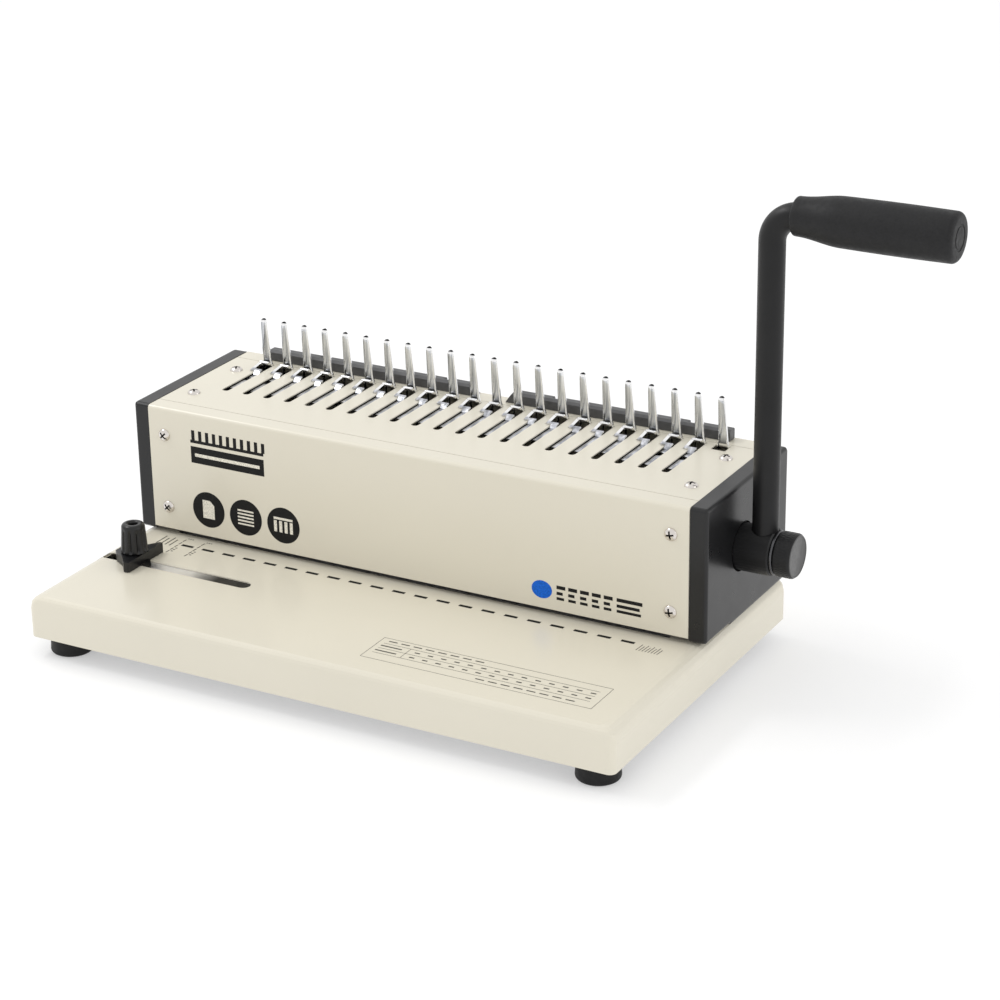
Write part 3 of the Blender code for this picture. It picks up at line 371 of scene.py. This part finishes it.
# painted shade: a near-black copy of the tine chrome for the tip
TINE_TIP_SHADE = make_tine_chrome("tine_tip_painted_shade", (0.02, 0.02, 0.022), (0.05, 0.05, 0.052), 1.0)
HOOK_CHROME = make_hook_chrome()
REST_PLASTIC = make_rest_plastic()
RECESS_SHADE = make_recess_shade()
GUNMETAL = make_gunmetal()
SATIN_FACE = make_satin_face()
NICKEL = make_nickel()
STEEL = make_steel()
BRUSHED = make_brushed()
BRASS = make_brass()
INK = make_ink("black_ink", (0.008, 0.008, 0.008))
INK_PALE = make_ink("pale_ink", (0.74, 0.71, 0.62))
INK_BLUE = make_ink("blue_ink", (0.006, 0.12, 0.60))
INK_GREY = make_ink("thin_grey_ink", (0.07, 0.068, 0.06))

SLOT_MATERIALS = {
    "cream_paint": CREAM, "black_plastic": PLASTIC, "black_metal": ENAMEL, "black_rubber": FOOT_RUBBER,
    "chrome": CHROME, "nickel": NICKEL, "steel": STEEL, "brushed_steel": BRUSHED, "brass": BRASS}

NODE_MATERIALS = {"top_plate": CREAM_WITH_SLOT_SHADE, "hook_slider": HOOK_CHROME, "comb_rest_left": REST_PLASTIC,
                  "comb_rest_right": REST_PLASTIC}


def paint_nodes():
    for part in frame["record"]["subparts"]:
        node = frame["nodes"][part["node"]]
        material = NODE_MATERIALS.get(part["node"], SLOT_MATERIALS[part["material_slot"]])
        if not node.material_slots:
            node.data.materials.append(material)
        for material_slot in node.material_slots:
            material_slot.material = material


# ---------------------------------------------------------------- shape helpers
SHARP_ANGLE = 32.0


def machine_mesh(name, bm):
    """A bmesh in machine millimetres as a mesh in the world."""
    bmesh.ops.recalc_face_normals(bm, faces=bm.faces)
    for vert in bm.verts:
        vert.co = at(*vert.co)
    mesh = bpy.data.meshes.new(name)
    bm.to_mesh(mesh)
    bm.free()
    return mesh


def new_object(name, data):
    obj = bpy.data.objects.new(name, data)
    bpy.context.scene.collection.objects.link(obj)
    return obj


def finish_piece(name, bm, material, body, smooth=True, angle=SHARP_ANGLE):
    """A bmesh in machine millimetres becomes a piece that rides on a body."""
    mesh = machine_mesh(name, bm)
    if smooth:
        mesh.shade_smooth()
        mesh.set_sharp_from_angle(angle=math.radians(angle))
    mesh.materials.append(material)
    obj = new_object(name, mesh)
    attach(obj, body)
    return obj


def on_axis(axis, u, v, along):
    return {"x": (along, u, v), "y": (u, along, v), "z": (u, v, along)}[axis]


def add_turned(bm, axis, centre, profile, steps=64, ripple=None):
    """Turns (along, radius) points about an axis; a profile that never meets the axis makes a ring."""
    rings = []
    for along, radius in profile:
        if radius == 0.0:
            rings.append([bm.verts.new(on_axis(axis, centre[0], centre[1], along))])
            continue
        ring = []
        for i in range(steps):
            angle = 2 * math.pi * i / steps
            r = radius * (ripple(angle, along) if ripple else 1.0)
            ring.append(bm.verts.new(on_axis(axis, centre[0] + r * math.cos(angle),
                                             centre[1] + r * math.sin(angle), along)))
        rings.append(ring)
    closed = profile[0][1] != 0.0
    followers = rings[1:] + (rings[:1] if closed else [])
    for lower, upper in zip(rings, followers):
        for i in range(steps):
            j = (i + 1) % steps
            corners = (lower[i % len(lower)], lower[j % len(lower)],
                       upper[j % len(upper)], upper[i % len(upper)])
            bm.faces.new(list(dict.fromkeys(corners)))


def on_circle(centre, radius, degrees):
    """The points of a circle at the given angles."""
    return [(centre[0] + radius * math.cos(math.radians(a)), centre[1] + radius * math.sin(math.radians(a)))
            for a in degrees]


def arc(centre, radius, start, end, steps):
    return on_circle(centre, radius, [start + (end - start) * i / steps for i in range(steps + 1)])


def add_skin(bm, rings):
    """Joins rings of as many points each into a solid with flat ends."""
    for lower, upper in zip(rings, rings[1:]):
        for i in range(len(lower)):
            j = (i + 1) % len(lower)
            bm.faces.new((lower[i], lower[j], upper[j], upper[i]))
    bm.faces.new(rings[0])
    bm.faces.new(rings[-1])


def bar(u0, u1, v0, v1, slant=0.0):
    """The corners of a rectangle; slant shifts its far edge sideways."""
    return [(u0, v0), (u1, v0), (u1 + slant, v1), (u0 + slant, v1)]


def add_prism(bm, outline, axis, start, end):
    add_skin(bm, [[bm.verts.new(on_axis(axis, u, v, along)) for u, v in outline] for along in (start, end)])


def flatten_shading(*names):
    """Keeps the wide flat faces of softened CAD nodes flat."""
    for name in names:
        frame["nodes"][name].modifiers.new("flat_faces", "WEIGHTED_NORMAL").keep_sharp = True


def round_nodes(width, segments, *names):
    """A fine bevel on CAD nodes, so that their edges catch the light."""
    for name in names:
        modifier = frame["nodes"][name].modifiers.new("edge", "BEVEL")
        modifier.width = width * MM
        modifier.segments = segments
        modifier.limit_method = "ANGLE"
        modifier.angle_limit = math.radians(40.0)
    flatten_shading(*names)


# ---------------------------------------------------------------- printed marks
INK_FLOOR = 0.02
INK_THICK = 0.05


def deck_print(bm, outline):
    add_prism(bm, outline, "z", DECK + INK_FLOOR, DECK + INK_FLOOR + INK_THICK)


def front_print(bm, outline, layer=0):
    start = FRONT - INK_FLOOR - layer * (INK_THICK + 0.01)
    add_prism(bm, outline, "y", start, start - INK_THICK)


def print_hole_marks():
    bm = bmesh.new()
    for i in range(RINGS):
        deck_print(bm, bar(ring_x(i) - 4.1, ring_x(i) + 3.9, -0.8, 1.5))
    finish_piece("printed_hole_marks", bm, INK, "machine", smooth=False)


def print_scales():
    """Fine margin scales at both ends of the row of hole marks: ticks, and two dashed lines on the left."""
    bm = bmesh.new()
    for i in range(8):
        x = 151.0 + i * 1.78
        deck_print(bm, bar(x - 0.2, x + 0.2, -7.0, -1.0 if i % 2 else 0.6, 0.6))
    for i in range(4):
        x = -162.4 + i * 3.0
        deck_print(bm, bar(x - 0.36, x + 0.36, -3.5, 5.5 if i % 2 else 7.6))
    for x in (-149.3, -136.4):
        for i in range(5):
            y = -12.5 + i * 4.3
            deck_print(bm, bar(x - 0.32, x + 0.32, y, y + 3.1, 0.3))
        for i in range(3):
            deck_print(bm, bar(x + 1.4, x + 2.8, -10.0 + i * 2.3, -9.2 + i * 2.3))
            deck_print(bm, bar(x + 0.6 + i * 1.5, x + 1.4 + i * 1.5, 9.0, 9.8))
    finish_piece("printed_scales", bm, INK_GREY, "machine", smooth=False)


def print_table():
    """A plain framed table: two rows of short dashes between a longer row above and one below."""
    left, right, front, back = 23.9, 161.8, -80.0, -54.5
    rules = (-72.7, -66.7, -60.7)
    divider = 44.0
    half_line = 0.11
    bm = bmesh.new()
    for y in (front, back):
        deck_print(bm, bar(left, right, y - half_line, y + half_line))
    for y in rules:
        deck_print(bm, bar(left + 3.2, right - 4.5, y - half_line, y + half_line))
    for x in (left, right):
        deck_print(bm, bar(x - half_line, x + half_line, front, back))
    deck_print(bm, bar(divider - half_line, divider + half_line, rules[0], rules[2]))
    for y in (-69.7, -63.7):
        deck_print(bm, bar(27.0, 40.0, y - 0.5, y + 0.5))
        for i in range(14):
            x = divider + 4.0 + i * 8.1
            deck_print(bm, bar(x, x + 3.2, y - 0.5, y + 0.5))
    for first, y in ((28.5, -58.0), (92.0, -76.7)):
        for i in range(8):
            x = first + i * 7.6
            deck_print(bm, bar(x, x + 5.2, y, y + 0.9))
    finish_piece("printed_table", bm, INK_GREY, "machine", smooth=False)


DISC_CENTRES = [(-134.1 + i * 25.75, DECK + 20.5) for i in range(3)]     # X and Z


def print_front_headings():
    """A comb of plain bars as the heading, and three discs below it."""
    bm = bmesh.new()
    left, right = -144.3, -94.1
    front_print(bm, bar(left, right, DECK + 48.5, DECK + 58.7))
    front_print(bm, bar(left, right, DECK + 60.8, DECK + 62.6))
    for i in range(11):
        x = left + 0.9 + i * 4.8
        front_print(bm, bar(x, x + 2.2, DECK + 62.6, DECK + 68.6))
    for centre in DISC_CENTRES:
        front_print(bm, arc(centre, 11.0, 0.0, 352.5, 47))
    finish_piece("printed_front_discs", bm, INK, "machine", smooth=False)


def print_front_pictograms():
    """A sheet, a stack of lines and a comb, one on each disc, and a pale line in the heading."""
    bm = bmesh.new()
    front_print(bm, bar(-141.5, -97.0, DECK + 52.6, DECK + 54.6), 1)
    sheet, stack, comb = DISC_CENTRES
    outline = ((-4.0, -5.5), (4.0, -5.5), (4.0, 3.0), (1.2, 5.8), (-4.0, 5.8))
    front_print(bm, [(sheet[0] + u, sheet[1] + v) for u, v in outline], 1)
    for i in range(5):
        low = stack[1] - 4.8 + i * 2.1
        front_print(bm, bar(stack[0] - 5.5, stack[0] + 5.5, low, low + 1.0), 1)
    for i in range(4):
        left = comb[0] - 6.4 + i * 3.6
        front_print(bm, bar(left, left + 2.0, comb[1] - 4.5, comb[1] + 2.5), 1)
    front_print(bm, bar(comb[0] - 6.4, comb[0] + 6.4, comb[1] + 3.2, comb[1] + 4.6), 1)
    finish_piece("printed_front_pictograms", bm, INK_PALE, "machine", smooth=False)


def print_front_dot():
    """A plain oval with three rows of dashes beside it."""
    oval = bmesh.new()
    circle = on_circle((0.0, 0.0), 1.0, range(0, 360, 10))
    front_print(oval, [(84.9 + 6.3 * u, DECK + 14.8 + 5.3 * v) for u, v in circle])
    finish_piece("printed_front_dot", oval, INK_BLUE, "machine", smooth=False)
    dashes = bmesh.new()
    spans = [(94.0 + i * 7.2, 99.4 + i * 7.2) for i in range(5)] + [(130.6, 146.0)]
    for left, right in spans:
        front_print(dashes, bar(left, right, DECK + 16.8, DECK + 18.9))
        front_print(dashes, bar(left, right - 1.6, DECK + 13.4, DECK + 15.2))
        front_print(dashes, bar(left, right - 0.8, DECK + 10.4, DECK + 12.0))
    finish_piece("printed_front_dashes", dashes, INK, "machine", smooth=False)


# ---------------------------------------------------------------- fine pieces
def carve(obj, cutter_bm, inside=None):
    """Cuts a bmesh in machine millimetres out of a piece; inside, if given, is the material of the cut faces,
    which the screws use for their recesses' painted shade.
    """
    mesh = machine_mesh("cutter", cutter_bm)
    if inside:
        mesh.materials.append(inside)
    cutter = new_object("cutter", mesh)
    modifier = obj.modifiers.new("cut", "BOOLEAN")
    modifier.operation = "DIFFERENCE"
    modifier.object = cutter
    modifier.use_self = True
    modifier.material_mode = "TRANSFER" if inside else "INDEX"
    bpy.context.view_layer.update()
    evaluated = obj.evaluated_get(bpy.context.evaluated_depsgraph_get())
    result = bpy.data.meshes.new_from_object(evaluated)
    obj.modifiers.remove(modifier)
    obj.data = result
    result.set_sharp_from_angle(angle=math.radians(SHARP_ANGLE))
    bpy.data.objects.remove(cutter, do_unlink=True)


def screw_line(name):
    """A cover screw's axis, the ends of its head and shank along it, and its centre across it."""
    low, high = node_box(name)
    middle = (low + high) / 2
    if name.startswith("top"):
        return "z", high.z, low.z, (middle.x, middle.y)
    if name.startswith("front"):
        return "y", low.y, high.y, (middle.x, middle.z)
    return "y", high.y, low.y, (middle.x, middle.z)


def add_cross(bm, axis, centre, turn, start, end):
    """Two crossed bars in the shape of a screwdriver's tip."""
    for angle in (turn, turn + math.pi / 2):
        corners = [(centre[0] + u * math.cos(angle) - v * math.sin(angle),
                    centre[1] + u * math.sin(angle) + v * math.cos(angle))
                   for u, v in bar(-2.3, 2.3, -0.5, 0.5)]
        add_prism(bm, corners, axis, start, end)


def build_screw_heads():
    """Domed pan heads with a cross recess, each turned its own way."""
    head_radius, shank_radius = 3.8, 1.9
    rise = 2.1
    recess = 1.5
    for name in sorted(frame["nodes"]):
        if "_screw_" not in name or name.startswith("foot"):
            continue
        axis, tip, tail, centre = screw_line(name)
        out = 1.0 if tip > tail else -1.0
        profile = [(tip, 0.0)]
        for i in range(1, 7):
            angle = math.radians(15.0 * i)
            profile.append((tip - out * rise * (1 - math.cos(angle)), head_radius * math.sin(angle)))
        profile += [(tip - out * rise, shank_radius), (tail, shank_radius), (tail, 0.0)]
        bm = bmesh.new()
        add_turned(bm, axis, centre, profile, 40)
        screw = finish_piece("fine_" + name, bm, NICKEL, "machine")
        turn = math.radians(37.0 * (len(name) % 5) + 20.0 * name.count("r"))
        cross = bmesh.new()
        add_cross(cross, axis, centre, turn, tip - out * recess, tip + out)
        # the cut faces of the recess take the painted shade
        carve(screw, cross, RECESS_SHADE)
        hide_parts(name)


def build_grip():
    """The soft grip, with a rolled mouth, a long taper and a moulded ring in its end."""
    neck, body, bore = 10.4, 13.3, 7.5      # radii
    mouth, end_rounding = 1.1, 3.0
    taper_start = GRIP_START + mouth
    body_start = taper_start + 26.0
    body_end = GRIP_END - end_rounding
    groove = GRIP_END - 0.4
    profile = [(GRIP_END - 13.0, 0.0), (GRIP_END - 13.0, bore), (GRIP_START, bore)]
    profile += arc((taper_start, neck - mouth), mouth, 180, 90, 3)
    for i in range(1, 15):
        part = i / 14
        profile.append((taper_start + (body_start - taper_start) * part,
                        neck + (body - neck) * (1 - math.cos(math.pi * part)) / 2))
    for i in range(1, 6):
        part = i / 5
        profile.append((body_start + (body_end - body_start) * part, body + 0.25 * math.sin(math.pi * part)))
    profile += arc((body_end, body - end_rounding), end_rounding, 75, 0, 5)
    profile += [(GRIP_END, 7.2), (groove, 6.9), (groove, 5.9), (GRIP_END, 5.6), (GRIP_END, 0.0)]
    bm = bmesh.new()
    add_turned(bm, "x", (LEVER_Y, GRIP_Z), profile, 72)
    grip = finish_piece("soft_grip", bm, GRIP_RUBBER, "lever")
    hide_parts("handle_grip")


def build_arm():
    """A round bar that rises from the hub and bends into the grip."""
    sides = 64
    bend_steps = 24
    radius = 7.2
    bend = 15.0
    stations = [(Vector((LEVER_X, LEVER_Y, LEVER_Z + rise)), 0.0) for rise in (7.0, 13.0)]
    centre = Vector((LEVER_X + bend, LEVER_Y, GRIP_Z - bend))
    for i in range(bend_steps + 1):
        turn = math.radians(90.0 * i / bend_steps)
        stations.append((centre + Vector((-math.cos(turn), 0.0, math.sin(turn))) * bend, turn))
    stations.append((Vector((GRIP_END - 14.0, LEVER_Y, GRIP_Z)), math.pi / 2))
    bm = bmesh.new()
    rings = []
    for middle, turn in stations:
        across = Vector((math.cos(turn), 0.0, -math.sin(turn)))
        rings.append([bm.verts.new(middle + (across * math.cos(a) + Vector((0, math.sin(a), 0))) * radius)
                      for a in (2 * math.pi * j / sides for j in range(sides))])
    add_skin(bm, rings)
    arm = finish_piece("bent_arm", bm, ENAMEL, "lever", angle=40.0)
    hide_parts("handle_arm")


def build_lock_knob():
    """A knob with a fine diamond knurl, a chamfer and a turned face."""
    start = HUB_END + 2.0
    end = start + 10.4
    rim, shoulder, bore = 12.45, 12.35, 4.0
    knurl_start, knurl_end = start + 0.9, end - 1.7
    ridges = 46
    rows = 26

    def knurl(angle, along):
        if not knurl_start < along < knurl_end:
            return 1.0
        twist = (along - start) * 0.55
        waves = [abs(math.sin(angle * ridges / 2 + side * twist)) for side in (1, -1)]
        return 1.0 + 0.011 * (sum(waves) - 1.2)

    profile = [(start - 8.0, 0.0), (start - 8.0, bore), (start, bore), (start, 11.6), (start + 0.7, shoulder)]
    for i in range(rows + 1):
        profile.append((knurl_start + (knurl_end - knurl_start) * i / rows, rim))
    profile += [(end - 1.2, shoulder), (end - 0.3, 11.7), (end, 11.4), (end, 10.9), (end - 0.15, 10.7),
                (end - 0.15, 0.0)]
    bm = bmesh.new()
    add_turned(bm, "x", (LEVER_Y, LEVER_Z), profile, 230, knurl)
    knob = finish_piece("knurled_knob", bm, ENAMEL, "lock_knob", angle=55.0)
    knob.data.materials.append(SATIN_FACE)
    face_start = at(end - 0.2, 0.0, 0.0).x
    step_area = 0.1 * MM * MM          # the facets of the small step inside the rim are smaller
    for polygon in knob.data.polygons:
        if polygon.center.x > face_start and polygon.area > step_area:
            polygon.material_index = 1
    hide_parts("lock_knob")


def build_lock_washer():
    """The thick rounded washer between the hub and the knob."""
    start, end = HUB_END + 0.05, HUB_END + 1.95
    rim, bore = 12.2, 6.0
    rounding = 0.6
    profile = [(start, bore), (start, rim - rounding)]
    profile += arc((start + rounding, rim - rounding), rounding, 150, 90, 2)
    profile += arc((end - rounding, rim - rounding), rounding, 90, 0, 3)
    profile += [(end, bore)]
    bm = bmesh.new()
    add_turned(bm, "x", (LEVER_Y, LEVER_Z), profile, 72)
    washer = finish_piece("rounded_washer", bm, GUNMETAL, "lever")
    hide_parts("lock_washer")


def build_hook_lips():
    """The rolled front edge of each hook, across the face of its tine, in the tines' near-white chrome as a
    painted highlight.
    """
    left, right = -1.9, 4.5
    radius, end_radius = 0.95, 0.55
    line = (96.7, TOP + 2.6)
    bm = bmesh.new()
    for i in range(RINGS):
        x = tine_x(i)
        profile = [(x + left, 0.0), (x + left + 0.15, end_radius), (x + left + 0.7, radius),
                   (x + right - 0.6, radius), (x + right - 0.15, end_radius), (x + right, 0.0)]
        add_turned(bm, "x", line, profile, 20)
    finish_piece("rolled_hook_edges", bm, TINE_HIGHLIGHT, "comb_opener")


def build_guide_knob():
    """The paper guide's fluted knob, with a hollow top."""
    low = DECK + 6.5
    high = DECK + 23.6
    radius, taper, bore = 7.85, 1.0, 2.7
    rounding = 2.0
    flutes = 10
    flutes_start, flutes_end = 0.03, 0.86      # shares of the height

    def fluting(angle, along):
        part = (along - low) / (high - low)
        if part < flutes_start or part > flutes_end:
            return 1.0
        fade = min(1.0, (flutes_end - part) / 0.12)
        wave = max(0.0, math.cos(flutes * angle))
        return 1.0 - 0.13 * fade * wave ** 1.5

    profile = [(low, bore), (low, 7.4), (low + 0.5, radius)]
    for i in range(1, 15):
        part = i / 14
        profile.append((low + 0.5 + (high - low - 2.6) * part, radius - taper * part))
    profile += on_circle((high - rounding, 4.8), rounding, (75, 55, 35, 15, 0))
    profile += [(high, 3.4), (high - 0.5, 2.9), (high - 1.4, bore)]
    bm = bmesh.new()
    add_turned(bm, "z", (GUIDE_X, GUIDE_Y), profile, 120, fluting)
    knob = finish_piece("fluted_knob", bm, PLASTIC, "guide_knob", angle=50.0)
    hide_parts("guide_knob")


TINE_Y = 99.0
TINE_THICK = 2.0
TINE_TOP = 144.9
TINE_TIP = 2.05                    # radius of the rounded tip
TINE_FOOT = 109.2

# A tine's section: share of its width and depth behind its front. Sides 1 to 4 are its crowned face.
TINE_SECTION = ((0.05, 0.42), (0.13, 0.20), (0.30, 0.06), (0.50, 0.0), (0.70, 0.06), (0.87, 0.20),
                (0.95, 0.42), (1.0, 0.8), (1.0, 1.6), (0.92, 1.95), (0.5, 2.0), (0.08, 1.95),
                (0.0, 1.6), (0.0, 0.8))
FACE_SIDES = (1, 2, 3, 4)


def tine_stations():
    """Height, left and right edge, and backward lean of the section, from a tine's foot to its tip."""
    stations = [(TINE_FOOT, -2.1, 5.2, 0.0), (116.4, -2.1, 5.2, 0.0), (117.2, -1.9, 5.05, 0.0),
                (119.0, -1.2, 4.4, 0.0), (126.0, -1.45, 3.8, 0.0), (134.0, -1.7, 3.1, 0.0),
                (141.0, -1.88, 2.4, 0.0)]
    for degrees in (0, 20, 40, 58, 72, 82):
        angle = math.radians(degrees)
        reach = TINE_TIP * math.cos(angle)
        stations.append((TINE_TOP - TINE_TIP + TINE_TIP * math.sin(angle), 0.15 - reach, 0.15 + reach,
                         0.9 * math.sin(angle) ** 2))
    return stations


def finish_tine_faces(mesh, faces_per_tine):
    """Painted highlight on the rounded edges round each crowned face, and painted shade on the bevelled tip.
    """
    tip_shade_from = at(0.0, 0.0, TINE_TOP - 0.75).z
    edge_highlight_from = at(0.0, 0.0, TINE_TOP - 2.0).z
    for number, polygon in enumerate(mesh.polygons):
        side = number % faces_per_tine % len(TINE_SECTION)
        if polygon.center.z > tip_shade_from:
            polygon.material_index = 2
        elif side not in FACE_SIDES or polygon.center.z > edge_highlight_from:
            polygon.material_index = 1


def cut_tine_windows(tines):
    """The hole at the foot of each tine, with two cut corners, which its hook passes."""
    left, right, low, high = -1.3, 4.3, 110.6, 117.8
    corner = 0.6
    cutter = bmesh.new()
    for i in range(TINES):
        x = tine_x(i)
        window = [(x + left, low), (x + right, low), (x + right, high - corner), (x + right - corner, high),
                  (x + left + corner, high), (x + left, high - corner)]
        add_prism(cutter, window, "y", TINE_Y - 1.0, TINE_Y + TINE_THICK + 1.0)
    carve(tines, cutter)


def build_tine_bar():
    """The bar below the tines, with a foot at each end that reaches back to the frame."""
    low, high, half = 98.0, 109.8, 166.7
    back = 110.0
    bm = bmesh.new()
    add_prism(bm, bar(TINE_Y, TINE_Y + TINE_THICK, low, high), "x", -half, half)
    for side in (-1, 1):
        ends = sorted((side * (half - 2.0), side * half))
        add_prism(bm, bar(TINE_Y + TINE_THICK + 0.1, back, low, high), "x", *ends)
    # the bar lies below the tines' foot, so it carries their painted shade throughout
    tine_bar = finish_piece("tine_bar", bm, TINE_CHROME, "machine")
    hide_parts("tine_comb")


def build_tines():
    """The row of tines, each with a crowned face, rounded edges and a bevelled tip, on their bar."""
    stations = tine_stations()
    bm = bmesh.new()
    for i in range(TINES):
        rings = []
        for z, left, right, lean in stations:
            ring = []
            for across, depth in TINE_SECTION:
                y = TINE_Y + depth + lean * max(0.0, 1.0 - depth / 1.6)
                ring.append(bm.verts.new((tine_x(i) + left + (right - left) * across, y, z)))
            rings.append(ring)
        add_skin(bm, rings)
    tines = finish_piece("polished_tines", bm, TINE_CHROME, "machine", angle=38.0)
    tines.data.materials.append(TINE_HIGHLIGHT)
    tines.data.materials.append(TINE_TIP_SHADE)
    ends = 2
    finish_tine_faces(tines.data, len(TINE_SECTION) * (len(stations) - 1) + ends)
    cut_tine_windows(tines)
    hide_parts("tine_comb")
    build_tine_bar()


def build_return_springs():
    """Coils with a closed turn at each end."""
    wire = 0.6
    open_turns = 4
    steps = 24
    sides = 10
    closed_pitch = 2.04 * wire
    for name in ("return_spring_left", "return_spring_right"):
        low, high = node_box(name)
        middle = (low + high) / 2
        length = high.z - low.z
        radius = (high.x - low.x) / 2 - wire
        free = length - 2 * wire - 2 * closed_pitch
        rings = []
        bm = bmesh.new()
        for i in range((open_turns + 2) * steps + 1):
            turn = i / steps
            opened = min(1.0, max(0.0, (turn - 1) / open_turns))
            closed = min(turn, 1) + max(0.0, turn - 1 - open_turns)
            height = low.z + wire + closed_pitch * closed + free * opened
            out = Vector((math.cos(2 * math.pi * turn), math.sin(2 * math.pi * turn), 0.0))
            centre = Vector((middle.x, middle.y, height)) + out * radius
            rings.append([bm.verts.new(centre + (out * math.cos(a) + Vector((0, 0, math.sin(a)))) * wire)
                          for a in (2 * math.pi * j / sides for j in range(sides))])
        add_skin(bm, rings)
        spring = finish_piece("coiled_" + name, bm, STEEL, "machine", angle=60.0)
        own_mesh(spring)
        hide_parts(name)


def build_feet():
    """Turned rubber feet with a rounded tread and a shallow waist."""
    tread = 2.0
    hole, seat = 4.6, 6.0              # the hole for the screw's head: radius and height
    shank = 2.3
    for name in sorted(frame["nodes"]):
        if not name.startswith("foot_") or "screw" in name:
            continue
        low, high = node_box(name)
        centre = ((low.x + high.x) / 2, (low.y + high.y) / 2)
        radius = (high.x - low.x) / 2
        top = high.z
        profile = [(0.0, hole), (0.0, radius - tread - 0.2)]
        profile += on_circle((tread, radius - tread), tread, (158, 135, 113, 90))
        profile += [(top - 1.6, radius - 0.5), (top - 0.6, radius - 0.8), (top, radius - 1.5),
                    (top, shank), (seat, shank), (seat, hole)]
        bm = bmesh.new()
        add_turned(bm, "z", centre, profile, 64)
        foot = finish_piece("turned_" + name, bm, FOOT_RUBBER, "machine", angle=40.0)
        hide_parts(name)


# ---------------------------------------------------------------- stage
CAMERA_AT = (747.5, -1219.2, 677.2)      # machine millimetres
CAMERA_FORWARD = (-0.45154, 0.80758, -0.37939)
CAMERA_ROLL = -0.881
CAMERA_LENS = 100.9
SENSOR = 36.0
LIT_POINT = Vector((0.0, 0.0, 0.08))     # metres


def facing(position, direction):
    """A matrix for a camera or light at a position that looks along a direction."""
    turn = Vector(direction).to_track_quat("-Z", "Y").to_matrix().to_4x4()
    return Matrix.Translation(position) @ turn


def build_camera():
    camera_data = bpy.data.cameras.new("camera")
    camera_data.lens = CAMERA_LENS
    camera_data.sensor_width = SENSOR
    camera_data.clip_start = 0.05
    camera_data.clip_end = 50.0
    camera = new_object("camera", camera_data)
    roll = Matrix.Rotation(math.radians(CAMERA_ROLL), 4, "Z")
    camera.matrix_world = facing(at(*CAMERA_AT), CAMERA_FORWARD) @ roll
    bpy.context.scene.camera = camera


def build_floor():
    material = bpy.data.materials.new("pale_floor")
    material.use_nodes = True
    shader = material.node_tree.nodes["Principled BSDF"]
    shader.inputs["Base Color"].default_value = (0.62, 0.62, 0.62, 1.0)
    shader.inputs["Emission Color"].default_value = (1.0, 1.0, 1.0, 1.0)
    shader.inputs["Emission Strength"].default_value = 0.38
    shader.inputs["Roughness"].default_value = 0.9
    shader.inputs["Specular IOR Level"].default_value = 0.1
    bm = bmesh.new()
    bmesh.ops.create_grid(bm, x_segments=1, y_segments=1, size=12.0)
    mesh = bpy.data.meshes.new("floor")
    bm.to_mesh(mesh)
    bm.free()
    mesh.materials.append(material)
    floor = new_object("floor", mesh)
    floor.location.z = -0.2 * MM


def add_area(name, position, size, power):
    """A soft rectangular light that looks at the middle of the machine."""
    light_data = bpy.data.lights.new(name, "AREA")
    light_data.shape = "RECTANGLE"
    light_data.size, light_data.size_y = size
    light_data.energy = power
    light = new_object(name, light_data)
    light.matrix_world = facing(position, LIT_POINT - Vector(position))


def build_lights():
    world = bpy.data.worlds.new("studio")
    world.use_nodes = True
    background = world.node_tree.nodes["Background"]
    background.inputs["Color"].default_value = (1.0, 1.0, 1.0, 1.0)
    background.inputs["Strength"].default_value = 0.95
    bpy.context.scene.world = world
    add_area("key_from_left", at(-1060.0, -90.0, 1350.0), (1.0, 0.3), 7.0)
    add_area("right_fill", (1.9, 0.2, 0.8), (0.8, 1.2), 3.0)


def set_colour_management():
    settings = bpy.context.scene.view_settings
    settings.view_transform = "Standard"
    settings.look = "None"
    settings.exposure = 0.0


# ---------------------------------------------------------------- build
paint_nodes()
round_nodes(0.22, 2, "hook_slider")
round_nodes(0.8, 3, "guide_plate")
round_nodes(0.5, 3, "comb_rest_left", "comb_rest_right")
flatten_shading("left_end_cap", "right_end_cap", "base_pan")
build_tines()
build_hook_lips()
build_lock_washer()
round_nodes(0.25, 2, "top_plate", "front_cover", "rear_cover", "handle_hub")
build_screw_heads()
build_grip()
build_arm()
build_lock_knob()
build_guide_knob()
build_return_springs()
build_feet()
print_hole_marks()
print_scales()
print_table()
print_front_headings()
print_front_pictograms()
print_front_dot()
build_floor()
build_lights()
build_camera()
set_colour_management()
